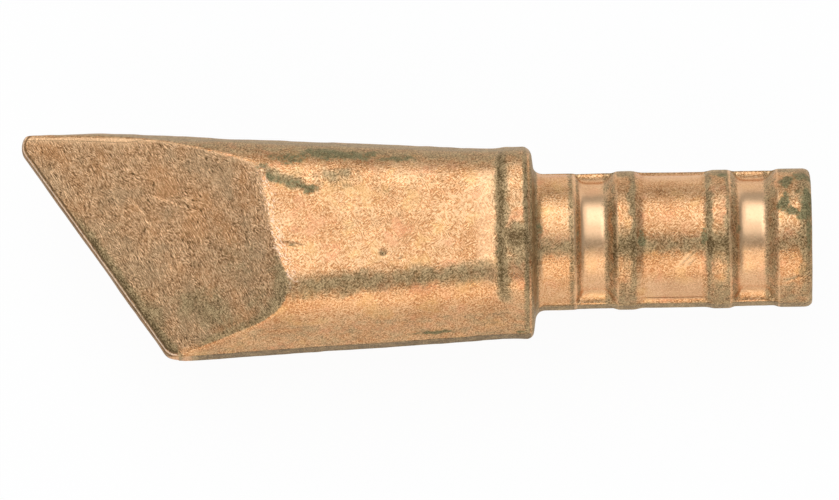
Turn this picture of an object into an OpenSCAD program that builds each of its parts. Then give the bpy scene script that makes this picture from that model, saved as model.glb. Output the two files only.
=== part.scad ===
// Soldering copper: a copper bit that a torch burner heats, with a slanted chisel edge and a ribbed shank.
// The shank's axis is the X axis. The rear end face lies at X = 0 and the tip points along -X.
// The broad faces of the head look along +Z and -Z, and the cutting edge slants across Y.
// The bit is one forging, drawn here as the sections that its creases divide it into.
// All sizes are in millimetres and all angles in degrees.

/* [Head] */
// Length from the rounded tip to the front of the collar
head_length = 67.8; // [55:0.1:90]
// Width of the head where it meets the collar
head_width = 26.8; // [24:0.1:34]
// Depth of the head between its two broad faces
head_depth = 24; // [21:0.1:30]
// Angle by which each side of the head spreads towards the tip
side_spread = 3.4; // [0:0.1:5]
// How far the flat of each broad face stops short of the side of the head
face_inset = 8.9; // [8:0.1:10]
// Radius of the rolled edges between the broad faces and the sides
face_round = 7.4; // [3:0.1:7.6]

/* [Chisel edge] */
// Angle between the cutting edge and the shank's axis
edge_angle = 56; // [45:0.5:75]
// Angle of each ground face to the middle plane
face_angle = 27.5; // [22:0.5:36]
// Thickness of the blunt cutting edge
edge_thickness = 2; // [0.6:0.1:4]
// Radius of the two corners of the cutting edge, seen from above
corner_radius = 2.3; // [0.5:0.1:4]

/* [Collar] */
// Length of the collar behind the head
collar_length = 5; // [4:0.1:8]
// Height of the collar's crest above each broad face
collar_rise = 0.7; // [0.1:0.1:1.5]
// Height of the collar's crest above the side that carries the tip
collar_side_rise = 0.5; // [0:0.1:1.5]
// Length of the slope that climbs to the crest
collar_foot = 1.7; // [0.5:0.1:2]
// Size of the blend at the collar's rear edge
collar_blend = 1.2; // [0.3:0.1:1.4]

/* [Shank] */
// Length of the neck between the collar and the front waist
neck_length = 5.6; // [4:0.1:9]
// Diameter of the neck
neck_diameter = 19; // [17:0.1:20]
// Radius of the fillet between the neck and the collar
shoulder_fillet = 1.6; // [0.4:0.1:1.7]
// Length of the waist in front of the front rib
front_waist_length = 5.2; // [3:0.1:8]
// Length of the waist behind the rear rib
rear_waist_length = 5.1; // [3:0.1:8]
// Diameter of both waists
waist_diameter = 16.5; // [13:0.1:18]
// Length of each rib at its foot
rib_length = 4; // [3:0.1:6]
// Length of each rib's crest
rib_crest = 2.3; // [1:0.1:2.8]
// Diameter of the ribs and of the end boss, which a holder's socket slides over
rib_diameter = 19.6; // [19.3:0.1:22]
// Length of the barrel between the ribs
barrel_length = 9.6; // [6:0.1:16]
// Diameter of the barrel
barrel_diameter = 18.3; // [16:0.1:19]

/* [End boss] */
// Length of the boss that ends the shank
boss_length = 5.7; // [4:0.1:9]
// Length of the slope that climbs from the rear waist to the boss
boss_foot = 0.7; // [0.3:0.1:1.5]
// Radius of the boss's rear edge
boss_round = 1.2; // [0.3:0.1:2]

/* [Parting lands] */
// Distance across the two flat lands that the trimmed die seam leaves along the shank
land_width = 18.8; // [16:0.1:19]
// Thickness of the lands, along the shank and along the sides of the head
land_thickness = 2.8; // [1:0.1:4]

/* [Hidden] */
$fn = 96;

// Thickness of the thin slices that a blended section is drawn between
slice = 0.05;
// Facets in a full turn of a rolled edge
roll_facets = 48;

ground_copper = [0.62, 0.45, 0.31];
forged_copper = [0.86, 0.63, 0.43];
bright_copper = [0.93, 0.71, 0.50];
dulled_copper = [0.60, 0.47, 0.34];

// Where each section of the bit starts along the axis
boss_x = -boss_length;
rear_waist_x = boss_x - rear_waist_length;
rear_rib_x = rear_waist_x - rib_length;
barrel_x = rear_rib_x - barrel_length;
front_rib_x = barrel_x - rib_length;
front_waist_x = front_rib_x - front_waist_length;
neck_x = front_waist_x - neck_length;
collar_x = neck_x - collar_length;
tip_x = collar_x - head_length;

// Half the head's width at a place on the axis
function half_width(x) = head_width / 2 + (collar_x - x) * tan(side_spread);

half_depth = head_depth / 2;

// Outward directions of the side with the tip, the side with the heel, and the cutting edge
tip_side = [sin(side_spread), cos(side_spread)];
heel_side = [sin(side_spread), -cos(side_spread)];
edge_side = [-sin(edge_angle), -cos(edge_angle)];

// Steps from a sharp corner between two sides to the centre of its round, for a radius of 1
function round_step(side_a, side_b) = -(side_a + side_b) / (1 + side_a * side_b);

tip_step = round_step(tip_side, edge_side);
heel_step = round_step(heel_side, edge_side);

// The sharp corners that the rounds at the tip and the heel replace
sharp_tip_x = tip_x + corner_radius * (1 - tip_step.x);
sharp_tip = [sharp_tip_x, half_width(sharp_tip_x)];
edge_fall = tan(edge_angle);
sharp_heel_x = (sharp_tip.y + sharp_tip.x * edge_fall + half_width(0)) / (edge_fall + tan(side_spread));
sharp_heel = [sharp_heel_x, -half_width(sharp_heel_x)];

tip_centre = sharp_tip + corner_radius * tip_step;
heel_centre = sharp_heel + corner_radius * heel_step;

// Distance, square to the cutting edge, at which the ground faces meet the broad faces
crease_distance = (half_depth - edge_thickness / 2) / tan(face_angle);
// Length that reaches past the whole head from its tip, whichever way it is laid
head_reach = 2 * (head_length + head_width);

// The shoulder's fillet stays on the collar's rear face
collar_rear_depth = half_depth + collar_rise - collar_blend;
shoulder_round = min(shoulder_fillet, collar_rear_depth - neck_diameter / 2);

// The cutting edge seen from above, with its rounded corners, spreading wider than the head behind it
module edge_outline() {
    hull() {
        for (centre = [tip_centre, heel_centre])
            translate(centre) circle(corner_radius);
        translate([collar_x - slice, -head_width]) square([slice, 2 * head_width]);
    }
}

// The section across the head: flat broad faces, rolled edges, sloping sides and the trimmed lands
module head_section(half_w, face_rise = 0, tip_side_rise = 0, heel_side_rise = 0) {
    tip_side_y = half_w + tip_side_rise;
    heel_side_y = half_w + heel_side_rise;
    roll_z = half_depth + face_rise - face_round;
    hull() {
        for (z = [-roll_z, roll_z], y = [tip_side_y - face_inset, face_inset - heel_side_y])
            translate([y, z]) circle(face_round, $fn = roll_facets);
        translate([-heel_side_y, -land_thickness / 2]) square([heel_side_y + tip_side_y, land_thickness]);
    }
}

// A slab of a section, standing across the axis
module slab_at(x, length) {
    translate([x, 0, 0]) rotate([90, 0, 90]) linear_extrude(length) children();
}

// A turned piece, whose profile has its radius along X and its length along Y
module turned(x) {
    translate([x, 0, 0]) rotate([0, 90, 0]) rotate_extrude() children();
}

// The frame of the cutting edge: X is the distance behind it and Y runs along it
module from_edge() {
    translate(sharp_tip) rotate(90 - edge_angle) children();
}

// The head as forged, before its faces are ground
module forged_head() {
    front_x = tip_x - corner_radius;
    intersection() {
        linear_extrude(2 * head_depth, center = true) edge_outline();
        hull() {
            slab_at(front_x, slice) head_section(half_width(front_x));
            slab_at(collar_x - slice, slice) head_section(half_width(collar_x));
        }
    }
}

// Everything between the cutting edge and the creases, under the two ground faces
module ground_wedge() {
    blunt = edge_thickness / 2;
    from_edge()
        rotate([90, 0, 0])
            linear_extrude(2 * head_reach, center = true)
                polygon([[0, blunt], [0, -blunt],
                         [crease_distance, -half_depth], [crease_distance, half_depth]]);
}

// Everything behind the creases
module behind_creases() {
    from_edge()
        translate([crease_distance, -head_reach, -head_depth])
            cube([head_reach, 2 * head_reach, 2 * head_depth]);
}

// The chisel end, with its blunt edge and its two ground faces
module wedge_tip() {
    color(ground_copper)
        intersection() {
            forged_head();
            ground_wedge();
        }
}

// The block behind the ground faces, which stores the heat
module head_block() {
    color(forged_copper)
        intersection() {
            forged_head();
            behind_creases();
        }
}

// The raised band at the back of the head: a slope, a level crest and a blended rear edge
module collar() {
    half_w = half_width(collar_x);
    crest_length = collar_length - collar_foot - collar_blend;
    color(dulled_copper)
        hull() {
            slab_at(collar_x, slice) head_section(half_w);
            slab_at(collar_x + collar_foot, crest_length) head_section(half_w, collar_rise, collar_side_rise);
            slab_at(neck_x - slice, slice)
                head_section(half_w, collar_rise - collar_blend, collar_side_rise - collar_blend,
                             -collar_blend);
        }
}

// Flat lands on both sides of a length of shank, left by the trimmed seam of the forging dies
module lands(x, length) {
    translate([x, -land_width / 2, -land_thickness / 2]) cube([length, land_width, land_thickness]);
}

// The round neck, with its fillet against the collar
module neck() {
    neck_radius = neck_diameter / 2;
    color(bright_copper)
        turned(neck_x) {
            square([neck_radius, neck_length]);
            translate([neck_radius, 0])
                difference() {
                    square(shoulder_round);
                    translate([shoulder_round, shoulder_round]) circle(shoulder_round);
                }
        }
}

// A narrow waist, which a holder's jaws close on
module waist(x, length) {
    color(bright_copper) {
        turned(x) square([waist_diameter / 2, length]);
        lands(x, length);
    }
}

// A raised ring with sloping sides, between a waist and the barrel
module rib(x, front_diameter, rear_diameter) {
    slope = (rib_length - rib_crest) / 2;
    crest_radius = rib_diameter / 2;
    color(dulled_copper) {
        turned(x)
            polygon([[0, 0], [front_diameter / 2, 0],
                     [crest_radius, slope], [crest_radius, slope + rib_crest],
                     [rear_diameter / 2, rib_length], [0, rib_length]]);
        lands(x, rib_length);
    }
}

module front_waist() {
    waist(front_waist_x, front_waist_length);
}

module front_rib() {
    rib(front_rib_x, waist_diameter, barrel_diameter);
}

// The plain round length between the two ribs
module barrel() {
    color(forged_copper) {
        turned(barrel_x) square([barrel_diameter / 2, barrel_length]);
        lands(barrel_x, barrel_length);
    }
}

module rear_rib() {
    rib(rear_rib_x, barrel_diameter, waist_diameter);
}

module rear_waist() {
    waist(rear_waist_x, rear_waist_length);
}

// The boss that ends the shank, with a flat rear face
module end_boss() {
    crest_radius = rib_diameter / 2;
    color(dulled_copper) {
        turned(boss_x) {
            polygon([[0, 0], [waist_diameter / 2, 0], [crest_radius, boss_foot],
                     [crest_radius, boss_length - boss_round], [crest_radius - boss_round, boss_length],
                     [0, boss_length]]);
            translate([crest_radius - boss_round, boss_length - boss_round]) circle(boss_round);
        }
        lands(boss_x, boss_foot);
    }
}

wedge_tip();
head_block();
collar();
neck();
front_waist();
front_rib();
barrel();
rear_rib();
rear_waist();
end_boss();
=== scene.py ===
"""Soldering copper: the forged skin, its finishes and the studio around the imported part.

The bit is one copper forging. Its skin is drawn as one implicit solid, meshed once, and cut into the
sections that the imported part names, so that the surface runs on unbroken from section to section.
Sizes in the classes are millimetres in the part's own frame. Blender's scene is in metres.
"""

import logging
import math
from collections.abc import Callable
from dataclasses import dataclass, field
from enum import Enum
from typing import ClassVar

import bmesh
import bpy
import numpy as np
from mathutils import Matrix, Vector


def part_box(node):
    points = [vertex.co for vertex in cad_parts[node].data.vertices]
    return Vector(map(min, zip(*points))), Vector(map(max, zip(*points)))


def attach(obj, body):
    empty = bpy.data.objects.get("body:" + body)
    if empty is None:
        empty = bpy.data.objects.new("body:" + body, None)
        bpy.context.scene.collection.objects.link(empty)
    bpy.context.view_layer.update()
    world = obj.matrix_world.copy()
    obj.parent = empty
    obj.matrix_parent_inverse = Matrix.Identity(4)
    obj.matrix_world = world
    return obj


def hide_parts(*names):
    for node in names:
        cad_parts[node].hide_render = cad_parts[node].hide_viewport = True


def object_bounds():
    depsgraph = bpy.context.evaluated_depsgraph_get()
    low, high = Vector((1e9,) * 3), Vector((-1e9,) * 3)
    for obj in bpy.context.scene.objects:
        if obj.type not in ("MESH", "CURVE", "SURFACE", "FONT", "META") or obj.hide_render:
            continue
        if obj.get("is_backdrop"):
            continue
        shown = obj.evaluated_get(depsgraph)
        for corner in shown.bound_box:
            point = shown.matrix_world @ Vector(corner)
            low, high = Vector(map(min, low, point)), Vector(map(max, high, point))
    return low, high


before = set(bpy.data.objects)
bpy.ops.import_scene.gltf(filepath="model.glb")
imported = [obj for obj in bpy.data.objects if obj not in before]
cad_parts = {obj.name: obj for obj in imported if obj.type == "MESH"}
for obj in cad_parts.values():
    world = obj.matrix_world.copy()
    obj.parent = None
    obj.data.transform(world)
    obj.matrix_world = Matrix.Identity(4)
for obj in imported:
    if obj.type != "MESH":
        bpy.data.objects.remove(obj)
CAD_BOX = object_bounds()

MM = 0.001
BODY = "root"
LOG = logging.getLogger("soldering_copper")

Field = Callable[[np.ndarray], np.ndarray]
# A span is two values, such as where a change starts and ends. A range adds the results at its two ends.
Span = tuple[float, float]
Range = tuple[float, float, float, float]

# A distance that is out of reach, and the least value that something is divided by.
FAR = 50.0
TINY = 1e-6


class Slot(Enum):
    """Material slots of the record."""

    GROUND = "copper_ground"
    FORGED = "copper_forged"
    BRIGHT = "copper_bright"
    DULLED = "copper_dulled"


class Mask(Enum):
    """Values kept at each point of the skin, which the finishes read."""

    GROUND = "ground"
    RIM_GAP = "rim_gap"
    EDGE_GAP = "edge_gap"
    SEAM_GAP = "seam_gap"
    # Crevice darkens corners through the film: painted shade, with some grime.
    CREVICE = "crevice"
    # Crest lightens edges: rubbed metal, with painted highlight lines on the shank's corners and on
    # scratches.
    CREST = "crest"
    # Film: brown tarnish, together with painted shade and painted dark reflections on sides that face away
    # from the lamps.
    FILM = "film"
    VERDIGRIS = "verdigris"
    # Polish and sheen: rubbed bright places, with painted highlight on the collar's foot and on sides that
    # face the lamps.
    BURNISH = "burnish"


def smoothstep(low: float, high: float, value: np.ndarray) -> np.ndarray:
    """Rise smoothly from 0 at low to 1 at high, which may lie below low, for a fall."""
    share = np.clip((value - low) / (high - low), 0.0, 1.0)
    return share * share * (3.0 - 2.0 * share)


def round_overlap(one: np.ndarray, other: np.ndarray, radius: float | np.ndarray) -> np.ndarray:
    """Keep the overlap of two implicit solids, negative inside, with its outer edge rounded."""
    reach = np.hypot(np.maximum(one + radius, 0.0), np.maximum(other + radius, 0.0))
    return np.minimum(-radius, np.maximum(one, other)) + reach


def round_union(one: np.ndarray, other: np.ndarray, radius: float | np.ndarray) -> np.ndarray:
    """Join two implicit solids, negative inside, with a fillet where they meet."""
    reach = np.hypot(np.maximum(radius - one, 0.0), np.maximum(radius - other, 0.0))
    return np.maximum(radius, np.minimum(one, other)) - reach


def bell(value: np.ndarray, middle: float, width: float) -> np.ndarray:
    """Rise to 1 at a middle value, and fall to about a third at a width to either side of it."""
    return np.exp(-(((value - middle) / width) ** 2))


def turned_from(points: np.ndarray, x: float, y: float, turn: float) -> tuple[np.ndarray, np.ndarray]:
    """Measure places, seen from above, from the middle of a mark that is turned.

    Args:
        points: Places, one per row.
        x: Middle of the mark along the axis.
        y: Middle of the mark across the axis.
        turn: Turn of the mark in degrees.

    Returns:
        Distances along the mark and across it.
    """
    cosine = math.cos(math.radians(turn))
    sine = math.sin(math.radians(turn))
    along = points[:, 0] - x
    across = points[:, 1] - y
    return cosine * along + sine * across, cosine * across - sine * along


@dataclass(frozen=True)
class Ripple:
    """A smooth random swell, the same on every run."""

    seed: int
    pitch: float
    cells: int = 48

    def lattice(self) -> np.ndarray:
        """Random values from -1 to 1 at the corners of the cells."""
        return np.random.default_rng(self.seed).uniform(-1.0, 1.0, (self.cells,) * 3)

    def at(self, points: np.ndarray) -> np.ndarray:
        """Read the swell.

        Args:
            points: Places, one per row.

        Returns:
            Values between -1 and 1.
        """
        cell = points / self.pitch
        base = np.floor(cell).astype(np.int64)
        share = cell - base
        share = share * share * share * (share * (share * 6.0 - 15.0) + 10.0)
        values = self.lattice()
        total = np.zeros(len(points))
        for corner in np.ndindex(2, 2, 2):
            index = (base + corner) % self.cells
            weight = np.prod(np.where(corner, share, 1.0 - share), axis=1)
            total += weight * values[index[:, 0], index[:, 1], index[:, 2]]
        return total


@dataclass
class Stations:
    """Where the sections lie along the axis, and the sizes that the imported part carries, in millimetres."""

    tip: float
    collar: float
    neck: float
    front_waist: float
    front_rib: float
    barrel: float
    rear_rib: float
    rear_waist: float
    end_boss: float
    end: float
    half_depth: float
    half_width: float
    waist_radius: float
    rib_radius: float
    barrel_radius: float
    land_reach: float

    @classmethod
    def from_frame(cls) -> "Stations":
        """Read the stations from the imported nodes.

        Returns:
            The stations and sizes.
        """
        def low(node: str) -> Vector:
            """Lowest corner of a node, in millimetres."""
            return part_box(node)[0] / MM

        def high(node: str) -> Vector:
            """Highest corner of a node, in millimetres."""
            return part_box(node)[1] / MM

        starts = (
            "collar", "neck", "front_waist", "front_rib", "barrel", "rear_rib", "rear_waist", "end_boss",
        )
        return cls(
            tip=low("wedge_tip").x,
            **{node: low(node).x for node in starts},
            end=high("end_boss").x,
            half_depth=high("head_block").z,
            half_width=-low("collar").y,
            waist_radius=high("front_waist").z,
            rib_radius=high("front_rib").z,
            barrel_radius=high("barrel").z,
            land_reach=high("front_waist").y,
        )


@dataclass(frozen=True)
class Section:
    """One named length of the forging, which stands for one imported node."""

    node: str
    slot: Slot

    @property
    def piece(self) -> str:
        """Name of the piece in the scene."""
        return f"forged_{self.node}"


@dataclass
class SubAssembly:
    """Neighbouring sections of the forging that share one form."""

    at: Stations
    sections: ClassVar[tuple[Section, ...]] = ()

    def build(self, skin: "Skin") -> list[bpy.types.Object]:
        """Make the closed pieces of the sections, from the tip to the rear, out of the meshed skin."""
        return [skin.piece(section) for section in self.sections]

    def dress(self, pieces: list[bpy.types.Object], finishes: dict[Slot, bpy.types.Material]) -> None:
        """Give each piece its finish, and let it stand for its node.

        Args:
            pieces: The pieces, in the order of the sections.
            finishes: The material of each slot.
        """
        for section, piece in zip(self.sections, pieces):
            piece.data.materials.append(finishes[section.slot])
            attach(piece, BODY)
            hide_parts(section.node)
            LOG.info("%s: %d faces, %s", piece.name, len(piece.data.polygons), section.slot.value)


@dataclass(frozen=True)
class HeadFilmAndShade:
    """How heavily brown film lies on the head, with painted shade and dark reflections on the sides that face
    across. A lean is the sideways share of the outward direction.
    """

    roll: float = 0.63
    roll_lean: Span = (0.4, 0.74)
    flank: float = 0.25
    flank_lean: Span = (0.85, 0.97)
    low_loss: float = 0.35
    low_ragged: float = 0.3
    low_height: Span = (4.5, 0.0)
    heel: float = 0.3
    heel_lean: Span = (0.7, 0.9)
    heel_flank_lean: Span = (0.92, 0.985)
    strip_tip_side: float = 0.7
    strip_heel_side: float = 1.15
    strip_ragged: float = 0.2
    strip_edge: Span = (0.1, -0.1)
    strip_lean: Span = (0.7, 0.9)
    side_start: Span = (1.5, 4.0)
    edge: float = 0.95
    edge_fade: Span = (2.4, 0.8)
    edge_start: Span = (0.36, 0.5)
    edge_across: Span = (9.0, 0.0)
    crease: float = 0.8
    crease_fade: Span = (2.0, 0.2)
    crease_start: Span = (-0.15, 0.02)
    crease_across: Span = (-2.0, -7.0)
    crease_behind: Span = (2.0, 6.0)


@dataclass
class ChiselHead(SubAssembly):
    """The rolled-edge block with its slanted chisel end."""

    sections: ClassVar[tuple[Section, ...]] = (
        Section("wedge_tip", Slot.GROUND),
        Section("head_block", Slot.FORGED),
    )
    spread: float = math.tan(math.radians(3.4))
    face_inset: float = 8.9
    roll_radius: float = 7.4
    land_half: float = 1.4
    edge_angle: float = math.radians(56.0)
    edge_half: float = 1.0
    corner_radius: float = 2.3
    tip_side_droop: float = 0.0026
    droop_start: float = -95.0
    heel_bow: float = 0.4
    bow_run: Span = (-95.0, -50.0)
    slope_by_tip: float = 0.445
    slope_by_heel: float = 0.585
    slope_run: Span = (25.5, 45.5)
    crease_radius: float = 0.18
    rim_radius: float = 0.85
    rim_fade: Span = (9.0, 17.0)
    corner_dip: float = 0.022
    corner_place: float = 26.0
    corner_reach: float = 3.0
    blunt_radius: float = 0.3
    rim_run: Span = (-97.8, -92.4)
    rim_off_tip_side: float = 1.0
    rim_off_heel_side: float = 10.0
    seam_height: float = 1.5
    tarnish_and_shade: HeadFilmAndShade = HeadFilmAndShade()
    sharp_tip: np.ndarray = field(init=False)
    sharp_heel: np.ndarray = field(init=False)
    into_head: np.ndarray = field(init=False)
    along_edge: np.ndarray = field(init=False)

    def __post_init__(self) -> None:
        """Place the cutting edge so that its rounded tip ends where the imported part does."""
        sine = math.sin(self.edge_angle)
        cosine = math.cos(self.edge_angle)
        self.into_head = np.array([sine, cosine])
        self.along_edge = np.array([cosine, -sine])
        step = self.round_step(self.side_normal(1.0), -self.into_head)
        tip_x = self.at.tip + self.corner_radius * (1.0 - step[0])
        self.sharp_tip = np.array([tip_x, self.half_width(tip_x)])
        run = (self.half_width(tip_x) * 2.0) / (sine + self.spread * cosine)
        self.sharp_heel = self.sharp_tip + self.along_edge * run

    def side_normal(self, side: float) -> np.ndarray:
        """Outward direction, seen from above, of the side with the tip (1) or the heel (-1)."""
        length = math.hypot(self.spread, 1.0)
        return np.array([self.spread / length, side / length])

    @staticmethod
    def round_step(one: np.ndarray, other: np.ndarray) -> np.ndarray:
        """Step from a sharp corner between two sides to the centre of its round, for a radius of 1."""
        return -(one + other) / (1.0 + float(one @ other))

    def half_width(self, x: np.ndarray | float) -> np.ndarray | float:
        """Half the head's width at places along the axis."""
        return self.at.half_width + np.maximum(self.at.collar - x, 0.0) * self.spread

    def behind_edge(self, points: np.ndarray) -> np.ndarray:
        """Distance from the cutting edge into the head, seen from above."""
        return (points[:, :2] - self.sharp_tip) @ self.into_head

    def roll_centre(self, points: np.ndarray) -> tuple[np.ndarray, np.ndarray]:
        """Place of each point against the centre of its rolled edge.

        Args:
            points: Places, one per row.

        Returns:
            Distances outward across the head and away from its middle plane.
        """
        width = self.half_width(points[:, 0])
        droop = self.tip_side_droop * np.maximum(self.droop_start - points[:, 0], 0.0) ** 2
        low, high = self.bow_run
        bow = self.heel_bow * np.clip((points[:, 0] - low) / (high - low), 0.0, 1.0)
        width = width + np.where(points[:, 1] > 0.0, -droop, bow)
        out = np.abs(points[:, 1]) - (width - self.face_inset)
        up = np.abs(points[:, 2]) - (self.at.half_depth - self.roll_radius)
        return out, up

    def section(self, points: np.ndarray) -> np.ndarray:
        """Draw the forged block before its ends are cut: flats, rolled edges, drafted sides and lands.

        Args:
            points: Places, one per row.

        Returns:
            Values that are negative inside.
        """
        out, up = self.roll_centre(points)
        corner_out = self.face_inset
        corner_up = self.land_half - (self.at.half_depth - self.roll_radius)
        reach = math.hypot(corner_out, corner_up)
        draft = math.atan2(corner_up, corner_out) + math.acos(self.roll_radius / reach)
        normal = np.array([math.cos(draft), math.sin(draft)])
        below = normal[0] * up - normal[1] * out < 0.0
        side = np.maximum(normal[0] * out + normal[1] * up - self.roll_radius, out - self.face_inset)
        rolled = np.hypot(np.maximum(out, 0.0), np.maximum(up, 0.0)) - self.roll_radius
        flat = up - self.roll_radius
        return np.where(below & (out > 0.0), side, np.where(out > 0.0, rolled, flat))

    def ground_faces(self, points: np.ndarray) -> np.ndarray:
        """Draw the two hand-ground faces, which steepen a little from the tip to the heel.

        Args:
            points: Places, one per row.

        Returns:
            Values that are negative under the faces.
        """
        behind = self.behind_edge(points)
        along = (points[:, :2] - self.sharp_tip) @ self.along_edge
        share = smoothstep(*self.slope_run, along)
        slope = self.slope_by_tip + (self.slope_by_heel - self.slope_by_tip) * share
        slope = slope - self.corner_dip * bell(along, self.corner_place, self.corner_reach)
        return (np.abs(points[:, 2]) - self.edge_half - slope * behind) / np.hypot(slope, 1.0)

    def edge_outline(self, points: np.ndarray) -> np.ndarray:
        """Draw the cutting edge seen from above, with its rounded corners.

        Args:
            points: Places, one per row.

        Returns:
            Values that are negative behind the edge.
        """
        outward = -self.into_head
        values = np.full(len(points), -np.inf)
        for corner, side in ((self.sharp_tip, 1.0), (self.sharp_heel, -1.0)):
            flank = self.side_normal(side)
            centre = corner + self.corner_radius * self.round_step(flank, outward)
            offset = points[:, :2] - centre
            by_edge = offset @ outward
            by_side = offset @ flank
            bend = float(outward @ flank)
            round_off = (by_side - by_edge * bend > 0.0) & (by_edge - by_side * bend > 0.0)
            plain = np.where(by_edge > by_side, by_edge, -np.inf)
            values = np.maximum(values, np.where(round_off, np.linalg.norm(offset, axis=1), plain))
        return values - self.corner_radius

    def rim_gap(self, points: np.ndarray) -> np.ndarray:
        """Distance in from the trimmed sides of the chisel end, larger where they aren't trimmed."""
        away = np.where(points[:, 1] > 0.0, self.rim_off_tip_side, self.rim_off_heel_side)
        return away * smoothstep(*self.rim_run, points[:, 0]) - self.section(points)

    def film(self, points: np.ndarray, normals: np.ndarray, ragged: np.ndarray) -> np.ndarray:
        """How much brown film and painted shade cover the rolled sides and the strip between the die seams.

        Args:
            points: Points of the skin.
            normals: Outward directions there.
            ragged: A random swell that breaks it up.

        Returns:
            Values from 0 to 1, heavier on the side of the tip.
        """
        worn = self.tarnish_and_shade
        lean = normals[:, 1]
        y, height = points[:, 1], points[:, 2]
        # The rolled sides darken by how far they lean across, the tip side more: painted dark reflection,
        # with some tarnish.
        tip_side = worn.roll * smoothstep(*worn.roll_lean, lean)
        tip_side = tip_side + worn.flank * smoothstep(*worn.flank_lean, lean)
        lost = worn.low_loss - worn.low_ragged * ragged
        tip_side = tip_side * (1.0 - lost * smoothstep(*worn.low_height, height))
        heel_side = smoothstep(*worn.heel_lean, -lean) + smoothstep(*worn.heel_flank_lean, -lean)
        # The strip between the die seams, facing across, is darkened: painted shade.
        strip = np.where(y > 0.0, worn.strip_tip_side, worn.strip_heel_side) + worn.strip_ragged * ragged
        strip = strip * smoothstep(*worn.strip_edge, np.abs(height) - self.seam_height)
        strip = strip * smoothstep(*worn.strip_lean, np.abs(lean))
        behind = self.behind_edge(points)
        sides = np.maximum.reduce([tip_side, worn.heel * heel_side, strip])
        sides = sides * smoothstep(*worn.side_start, behind)
        gap = -self.edge_outline(points)
        by_edge = worn.edge * smoothstep(*worn.edge_fade, gap) * smoothstep(*worn.edge_start, gap)
        by_edge = by_edge * smoothstep(*worn.edge_across, y)
        crease = self.ground_faces(points) - self.section(points)
        by_crease = smoothstep(*worn.crease_fade, crease) * smoothstep(*worn.crease_start, crease)
        by_crease = by_crease * smoothstep(*worn.crease_across, y) * smoothstep(*worn.crease_behind, behind)
        return np.maximum.reduce([sides, by_edge, worn.crease * by_crease])

    def solid(self, points: np.ndarray, swelling: np.ndarray) -> np.ndarray:
        """Values of the whole head.

        Args:
            points: Places, one per row.
            swelling: How far the collar swells the section at each place.

        Returns:
            Values that are negative inside.
        """
        behind = self.behind_edge(points)
        rim = smoothstep(self.rim_fade[1], self.rim_fade[0], behind)
        radius = self.crease_radius + (self.rim_radius - self.crease_radius) * rim
        dressed = round_overlap(self.section(points) - swelling, self.ground_faces(points), radius)
        return round_overlap(dressed, np.maximum(self.edge_outline(points), -FAR), self.blunt_radius)


@dataclass(frozen=True)
class CollarFilmAndShade:
    """How brown film and painted shade lie on the collar, and where a highlight is painted on it. Places are
    distances behind the head.
    """

    raised_gain: float = 2.0
    slope: float = 0.98
    slope_middle: float = 0.0
    slope_width: float = 1.55
    crest: float = 0.3
    crest_start: Span = (0.8, 1.5)
    crest_end: Span = (3.3, 2.7)
    behind: float = 0.85
    behind_start: Span = (2.8, 3.7)
    behind_end: Span = (5.7, 5.1)
    # Strength of a painted highlight line along the band's rear edge, where the film thins.
    worn: float = 0.7
    highlight_line: float = 4.15
    highlight_width: float = 0.2
    shine: float = 0.35
    shine_lean: Span = (0.8, 0.95)
    shine_start: Span = (-4.2, -2.4)
    shine_end: Span = (-0.4, -1.0)


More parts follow.
